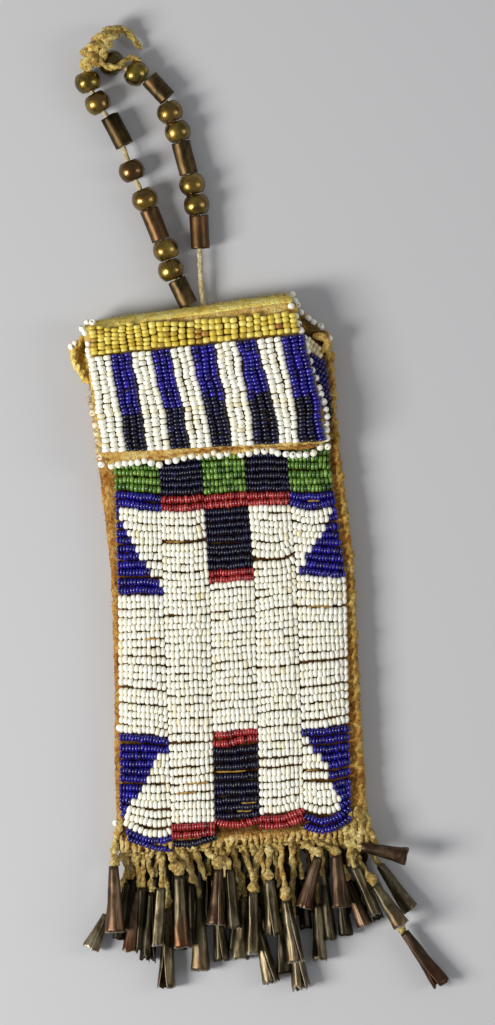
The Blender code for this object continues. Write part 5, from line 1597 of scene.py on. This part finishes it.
def rolled(low, high, radius_at, wall, seam, overlap, opening, seed, ragged, dent, steps=16):
    """A sheet rolled round local Z, with its seam at an angle: outer and inner grids."""
    outer = np.zeros((steps + 1, ROLLED_SIDES + 1, 3))
    inner = np.zeros_like(outer)
    for i in range(steps + 1):
        t = i / steps
        turns = math.tau + overlap + (-opening - overlap if opening else -overlap * 0.35) * t ** 1.4
        for k in range(ROLLED_SIDES + 1):
            share = k / ROLLED_SIDES
            angle = math.radians(seam) + math.pi + (share - 0.5) * turns
            c, s = math.cos(angle), math.sin(angle)
            shift = ragged * (0.6 * grain(c * 1.5, s * 1.5, seed) + 0.45 * grain(c * 5, s * 5, seed + 5))
            z = low + (high - low + shift * t ** 4) * t
            spiral = wall * 1.3 * share - wall * 0.6
            lift = wall * 0.8 * max(0.0, share - 0.93) / 0.07
            dents = 1.0 + dent * grain(c * 1.4, s * 1.4, t * 2.5 + seed)
            dents += dent * 0.5 * grain(c * 3.4, s * 3.4, t * 6 + seed)
            r = (radius_at(t) + spiral + lift) * dents
            outer[i, k] = (r * c, r * s, z)
            inner[i, k] = ((r - wall) * c, (r - wall) * s, z)
    return outer, inner


def shell_at(outer, inner, matrix):
    rotation = np.array(matrix.to_3x3())
    shift = np.array(matrix.translation)
    return shell(outer @ rotation.T + shift, inner @ rotation.T + shift, bulge=0.1)


def grid_shares(outer):
    rows, cols = outer.shape[:2]
    return np.meshgrid(np.linspace(0, 1, rows), np.linspace(0, 1, cols), indexing="ij")


def tube_piece(centre, direction, length, seed, seam):
    """A rolled tube with the values that its finish reads."""
    half = length / 2
    outer, inner = rolled(-half, half, lambda t: TUBE_DIAMETER / 2 - 0.35 * MM, 0.62 * MM, seam, 0.8, 0.0,
                          seed, 0.4 * MM, 0.022, steps=20)
    verts, faces = shell_at(outer, inner, place_on(centre, direction))
    along_it, round_it = grid_shares(outer)
    # Painted highlight along the seam's edge and at both rims; the inner face takes 0.9 of painted shade.
    rims = np.clip((np.abs(along_it - 0.5) - 0.46) / 0.04, 0, 1)
    tone = np.clip((round_it - 0.96) / 0.04, 0, 1) * 0.6 + rims * 0.6
    return verts, faces, shell_values(tone, tone * 0.3), shell_values(tone * 0, tone * 0 + 0.9)


def handle():
    """Both strands, the knot, and the beads and tubes strung on them."""
    made = {}
    for number, (name, (length, centre, direction)) in enumerate(strung_pieces().items()):
        dark, red = STRUNG_LOOKS.get(name, (0.05, 0.6))
        if name.startswith("tube"):
            seam = 200 - 35 * (number % 3)
            verts, faces, tone, shade = tube_piece(centre, direction, length, 0.7 + number * 1.3, seam)
            finish = "rolled_copper"
        else:
            verts, faces, shade = brass_bead(centre, direction, number * 2.3)
            tone = np.zeros(len(verts))
            finish = "brass"
        body = name if name in SLIDING else "handle"
        made[name] = add_piece(f"{name}_metal", [(verts, faces)], finish, body, finish, name, tone=tone,
                               shade=np.clip(shade + dark, -0.3, 1.0), rust=np.full(len(verts), red))
    knots = []
    for number, (name, points, radii) in enumerate(KNOT_STRANDS):
        part = strand(px_line(*points), radii, 0.3 * MM, 8.5 * MM, 0.30, 16, number * 3.1, 0.30)
        knots.append(add_piece(name, [part], "knot_thong", "handle", "thong", "handle_knot"))
    for side, route in (("left", LEFT_ROUTE), ("right", RIGHT_ROUTE)):
        path = even_path(smooth_path(in_metres(route))[PATH_STEPS:], 0.6 * MM)
        part = rings_mesh(twisted(path, [THONG / 2] * len(path), 6.0 * MM, 0.09, 12, 1.0, 0.16))
        cord = add_piece(f"thong_strand_{side}", [part], "pale_thong", None, "thong", f"handle_thong_{side}")
        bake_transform(cord)
        strung = [made[n] for n in made if side in n]
        if side == "left":
            strung += knots


def cone_frame(row):
    _, across, drop, lean, length_share, mouth_share, high = row
    length, mouth = CONE_LENGTH * length_share, CONE_MOUTH_RADIUS * mouth_share
    base = HIGH_TIER if high else LOW_TIER
    top = Vector((across * HALF_WIDTH, SEAM_Y - drop * FRINGE_DROP, base))
    mouth_z = mouth + MOUTH_LIFT + (HIGH_TIER - LOW_TIER if high else 0.0)
    lean = math.radians(lean)
    level = math.sqrt(length ** 2 - (mouth_z - base) ** 2)
    foot = Vector((top.x + level * math.sin(lean), top.y - level * math.cos(lean), mouth_z))
    return top, (foot - top).normalized(), length, mouth


def cone_piece(top, direction, length, mouth, looks, seed):
    """A rolled cone with the values that its finish reads."""
    _, dark, rust, seam, opening, ragged = looks

    def radius_at(t):
        waist = 0.46 * t / 0.55 if t < 0.55 else 0.46 + 0.54 * (t - 0.55) / 0.45
        return CONE_TOP_RADIUS - 0.15 * MM + (mouth - CONE_TOP_RADIUS) * waist
    outer, inner = rolled(0.0, length, radius_at, 0.32 * MM, seam, 0.7, math.radians(opening), seed,
                          ragged * MM, 0.10)
    verts, faces = shell_at(outer, inner, place_on(top, direction))
    along_it, round_it = grid_shares(outer)
    # Painted highlight along the seam's edges and round the mouth's rim, weaker on darker cones. The shade is
    # the cone's own darkness, darker towards the top, with painted shade 0.35 deeper on the inner face.
    edge = np.clip((round_it - 0.97) / 0.03, 0, 1) * 0.62 + np.clip((0.02 - round_it) / 0.02, 0, 1) * 0.3
    rim = np.clip((along_it - 0.95) / 0.05, 0, 1)
    tone = np.clip(edge + rim * 0.85, 0, 1.1) * (1.0 - 0.6 * max(dark, 0.0))
    shade = dark + 0.10 * (1 - along_it)
    stain = rust * np.clip((along_it - 0.25) / 0.6, 0.15, 1.0)
    layers = {
        "tone": shell_values(tone, rim * 0.5), "shade": shell_values(shade, np.clip(shade + 0.35, 0, 1)),
        "rust": shell_values(stain, stain + 0.3),
    }
    return verts, faces, layers


def fringe():
    for number, row in enumerate(CONES):
        name, finish = row[0], CONE_LOOKS[row[0]][0]
        verts, faces, layers = cone_piece(*cone_frame(row), CONE_LOOKS[name], number * 1.9 + 0.3)
        add_piece(f"{name}_rolled", [(verts, faces)], finish, name, "tin", name, **layers)
    tops = []
    for number, (u0, v0, u1, v1, height, share, dark) in enumerate(MORE_CONES):
        mouth = CONE_MOUTH_RADIUS * share
        top, foot = px_line((u0, v0, height), (u1, v1, height))
        if height < 7.0:
            foot.z = mouth + MOUTH_LIFT
        way = (foot - top).normalized()
        looks = ("tin", dark, 0.3, RNG.uniform(60, 130), 0, 1.0)
        verts, faces, layers = cone_piece(top, way, (foot - top).length, mouth, looks, number * 2.7 + 40.0)
        body = LIFTED_WITH.get(number + 1, "fringe")
        link(f"tinkler_more_{number + 1:02d}", mesh_of("more", verts, faces, **layers), "tin", body)
        tops.append((top, way, body))
    thongs(tops)
    seam_mat()


def thong_roots():
    rows = [row for row in CONES if row[0] != "tinkler_22"]
    limit = 0.965 * HALF_WIDTH
    pitch = 2 * limit / (len(rows) - 1)
    ordered = sorted(rows, key=lambda row: cone_frame(row)[0].x)
    return [(-limit + pitch * i, row) for i, row in enumerate(ordered)]


def thong_curve(root, top, direction):
    """A soft curve from the strip down into a cone."""
    entry = top - direction * 0.5 * MM
    reach = (entry - root).length * 0.4
    first, second = root + Vector((0.0, -reach, 0.0)), entry - direction * reach
    points = []
    for i in range(13):
        t = i / 12
        points.append(root * (1 - t) ** 3 + first * 3 * t * (1 - t) ** 2 + second * 3 * t ** 2 * (1 - t)
                      + entry * t ** 3)
    return points + [top + direction * (0.5 * MM)]


def knobbly(points, thick, thin, seed, wad=None, sides=11):
    """A worn thong: it swells, thins and wavers, and may end in a wad of hide."""
    path = even_path(points, 0.42 * MM)
    total = path_length(path)
    radii, moved = [], []
    for i, point in enumerate(path):
        share = i / (len(path) - 1)
        walked = share * total
        knobs = 1 + 0.42 * grain(walked / (2.6 * MM), seed * 3.3, 0.0)
        radius = (thick + (thin - thick) * share ** 1.5) * knobs
        left = total - walked
        if wad and left < wad[1] * MM:
            swell = math.sin(math.pi * min(max((left / MM - 0.5) / (wad[1] - 0.5), 0.0), 1.0)) ** 0.6
            radius += (wad[0] * MM - radius) * swell * 0.95
        if left < 0.8 * MM:
            radius = min(radius, 1.0 * MM)
        radii.append(radius)
        ease = math.sin(math.pi * min(share * 1.02, 1.0)) ** 0.7 if share < 0.98 else 0.0
        shift = noise.noise_vector(Vector((walked / (4.5 * MM), seed * 1.9, 5.0))) * 0.8 * MM * ease
        moved.append(point + shift)
    return rings_mesh(twisted(moved, radii, 8.5 * MM, 0.24, sides, seed * 1.7, 0.3, flat=0.85))


def thong_of(cone, points, thick, seed, finish, name=None):
    """One thong that bends between the fringe and its cone."""
    part = knobbly(points, thick, 0.75 * MM, seed, None if name else WADS.get(cone))
    made = add_piece(name or f"thong_of_{cone}", [part], finish, None, "thong", "fringe_strip")
    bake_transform(made)


def thongs(more):
    """The twisted thongs of the fringe, from the seam into the cones."""
    for number, (root_x, row) in enumerate(thong_roots()):
        top, direction, length, _ = cone_frame(row)
        root = Vector((root_x, FRINGE_AXIS_Y - 0.4 * MM, FRINGE_BASE + FRINGE_HEIGHT / 2 + 0.6 * MM))
        thick = (0.85 + 0.35 * ((number * 37) % 10) / 10) * MM
        finish = "thong_gold" if number % 4 == 1 else "thong"
        thong_of(row[0], thong_curve(root, top, direction), thick, number * 1.0, finish)
        if row[0] == "tinkler_21":
            last_top, last_way, _, _ = cone_frame(CONES[-1])
            points = [top + direction * (length - 3.0 * MM), top + direction * length,
                      last_top - last_way * 1.0 * MM, last_top + last_way * 0.5 * MM]
            thong_of("tinkler_22", points, thick, number + 0.5, finish)
    groups = {"thong": [], "thong_gold": []}
    for number, (top, direction, body) in enumerate(more):
        root_x = min(max(top.x * 0.97, -0.94 * HALF_WIDTH), 0.94 * HALF_WIDTH)
        root = Vector((root_x, FRINGE_AXIS_Y - 0.4 * MM, 4.6 * MM if top.z > 3.1 * MM else 3.4 * MM))
        finish = "thong_gold" if number % 3 == 1 else "thong"
        points = thong_curve(root, top, direction)
        if body == "fringe":
            groups[finish].append(knobbly(points, 0.8 * MM, 0.65 * MM, 30.0 + number))
        else:
            thong_of(body, points, 0.8 * MM, 30.0 + number, finish, f"thong_beside_{body}")
    for finish, parts in groups.items():
        add_piece(f"fringe_{finish}s", parts, finish, "fringe", "thong", "fringe_strip")
    # Near-black thongs low under the fringe: painted shade that stands in for the deep shadow between the
    # cones.
    parts = []
    count = 26
    for i in range(count):
        x = (-38.0 + 76.0 * i / (count - 1) + RNG.uniform(-0.7, 0.7)) * MM
        y = FRINGE_AXIS_Y - 0.8 * MM
        drop = RNG.uniform(18, 25) * MM
        z = RNG.uniform(1.0, 1.35) * MM
        sway = RNG.uniform(-1.5, 1.5) * MM
        points = [Vector((x, y, z + 0.6 * MM)), Vector((x + sway * 0.4, y - drop * 0.35, z)),
                  Vector((x + sway, y - drop * 0.7, z)), Vector((x + sway * 0.6, y - drop, z))]
        parts.append(knobbly(smooth_path(points), 1.05 * MM, 0.8 * MM, 60.0 + i, sides=8))
    add_piece("fringe_under_thongs", parts, "dark_thong", "fringe", "thong", "fringe_strip")


def across_seam(piece):
    """Bake the transform of a piece that runs from the pouch's seam over to the fringe."""
    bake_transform(piece)


def bundle_strands(lines, height, waver, limit, radii, twist, seed):
    """Strands of the bundle at the seam's right, kept to one side of a limit in Y."""
    parts = []
    for number, line in enumerate(lines):
        points = [px_point(u, v, height + waver * math.sin(number * 2.0)) for u, v in line]
        points = [Vector((p.x, limit(p.y), p.z)) for p in points]
        parts.append(strand(points, radii, 0.4 * MM, twist, 0.3, 12, seed + number, 0.13))
    return parts


def seam_mat():
    """The matted strip that the thongs are cut from, and the bundle at its right."""
    across = [-HALF_WIDTH + 2 * HALF_WIDTH * i / 160 for i in range(161)]
    path = [Vector((x, FRINGE_AXIS_Y - 0.8 * MM, 3.9 * MM)) for x in across]
    parts = [rings_mesh(lumpy_rings(path, 0.7 * MM, 1.2 * MM, 3.7 * MM, 0.3, 12, 5.0))]
    for i in range(20):
        x = (-39.0 + 78.0 * (i + RNG.uniform(-0.4, 0.4)) / 19) * MM
        y = FRINGE_AXIS_Y - RNG.uniform(0.9, 3.4) * MM
        z = RNG.uniform(4.6, 6.4) * MM
        length = RNG.uniform(3.5, 6.0) * MM
        lean = RNG.uniform(-0.55, 0.55)
        half = Vector((math.sin(lean), -math.cos(lean) * 0.8, 0.0)) * length / 2
        if y + abs(half.y) > FRINGE_AXIS_Y + 0.9 * MM:
            y = FRINGE_AXIS_Y + 0.9 * MM - abs(half.y)
        size = RNG.uniform(0.5, 0.95)
        low, crown = Vector((x, y, z - 0.7 * MM)), Vector((x, y, z + 0.3 * MM))
        points, radii = [low - half, crown, low + half], [size * 0.55, size, size * 0.6]
        parts.append(strand(points, radii, 0.4 * MM, 3.5 * MM, 0.25, 10, i * 1.7, 0.32))
    points = px_line((116.2, 840, 6.0), (115, 848, 6.6), (114.6, 856, 7.6), (114, 862, 8.6))
    parts.append(strand(points, [0.9, 1.25, 1.1, 0.8], 0.4 * MM, 4.5 * MM, 0.22, 12, 78.0, 0.3))
    across_seam(add_piece("fringe_seam_mat", parts, "thong", None, "thong", "fringe_strip"))
    parts = bundle_strands(BUNDLE_ABOVE, 7.4, 0.4, lambda y: max(y, SEAM_Y - 0.1 * MM), [1.0, 1.5, 1.5, 1.1],
                           12 * MM, 90.0)
    add_piece("seam_bundle", parts, "thong", "pouch", "hide", "bottom_welt")
    parts = bundle_strands(BUNDLE_BELOW, 7.2, 0.5, lambda y: min(y, SEAM_Y + 1.0 * MM), [1.0, 1.4, 1.4, 0.9],
                           10 * MM, 70.0)
    across_seam(add_piece("fringe_bundle", parts, "thong", None, "thong", "fringe_strip"))


def lamp_at(name, place, power, wide, tall, colour):
    data = bpy.data.lights.new(name, "AREA")
    data.shape = "RECTANGLE"
    data.size = wide
    data.size_y = tall
    data.energy = power
    data.color = colour
    lamp = bpy.data.objects.new(name, data)
    lamp.location = place
    lamp.rotation_euler = (-lamp.location).to_track_quat("-Z", "Y").to_euler()
    bpy.context.scene.collection.objects.link(lamp)


def camera_and_light():
    scene = bpy.context.scene
    scene.view_settings.view_transform = "Standard"
    data = bpy.data.cameras.new("camera")
    data.sensor_width = SENSOR
    data.lens = SENSOR * CAMERA_DISTANCE / VIEW_HEIGHT
    data.clip_end = 20.0
    camera = bpy.data.objects.new("camera", data)
    camera.location = (VIEW_CENTRE[0], VIEW_CENTRE[1], VIEW_CENTRE[2] + CAMERA_DISTANCE)
    camera.rotation_euler = (0.0, 0.0, -TURN)
    scene.collection.objects.link(camera)
    scene.camera = camera
    lamp_at("key", (-0.85, -0.20, 0.68), 13.0, 0.34, 0.5, (1.0, 0.99, 0.97))
    lamp_at("second", (0.95, 0.02, 0.66), 2.3, 0.4, 0.6, (0.98, 0.99, 1.0))

    world = bpy.data.worlds.new("studio")
    world.use_nodes = True
    set_inputs(world.node_tree.nodes["Background"], Color=(0.95, 0.97, 1.0, 1.0), Strength=0.29)
    scene.world = world

    _, shader = new_finish("table")
    set_inputs(shader, Base_Color=(0.56, 0.56, 0.57, 1.0), Roughness=0.9, Specular_IOR_Level=0.1)
    mesh = bpy.data.meshes.new("floor")
    size = 3.0
    corners = [(-size, -size, 0), (size, -size, 0), (size, size, 0), (-size, size, 0)]
    mesh.from_pydata(corners, [], [(0, 1, 2, 3)])
    mesh.materials.append(FINISHES["table"])
    floor = bpy.data.objects.new("floor", mesh)
    floor.location = (0.0, 0.0, -0.00015)
    scene.collection.objects.link(floor)


def main():
    camera_and_light()
    make_finishes()
    handle()
    hides()
    bead_lanes()
    flap_beads()
    edge_beads()
    fringe()


main()
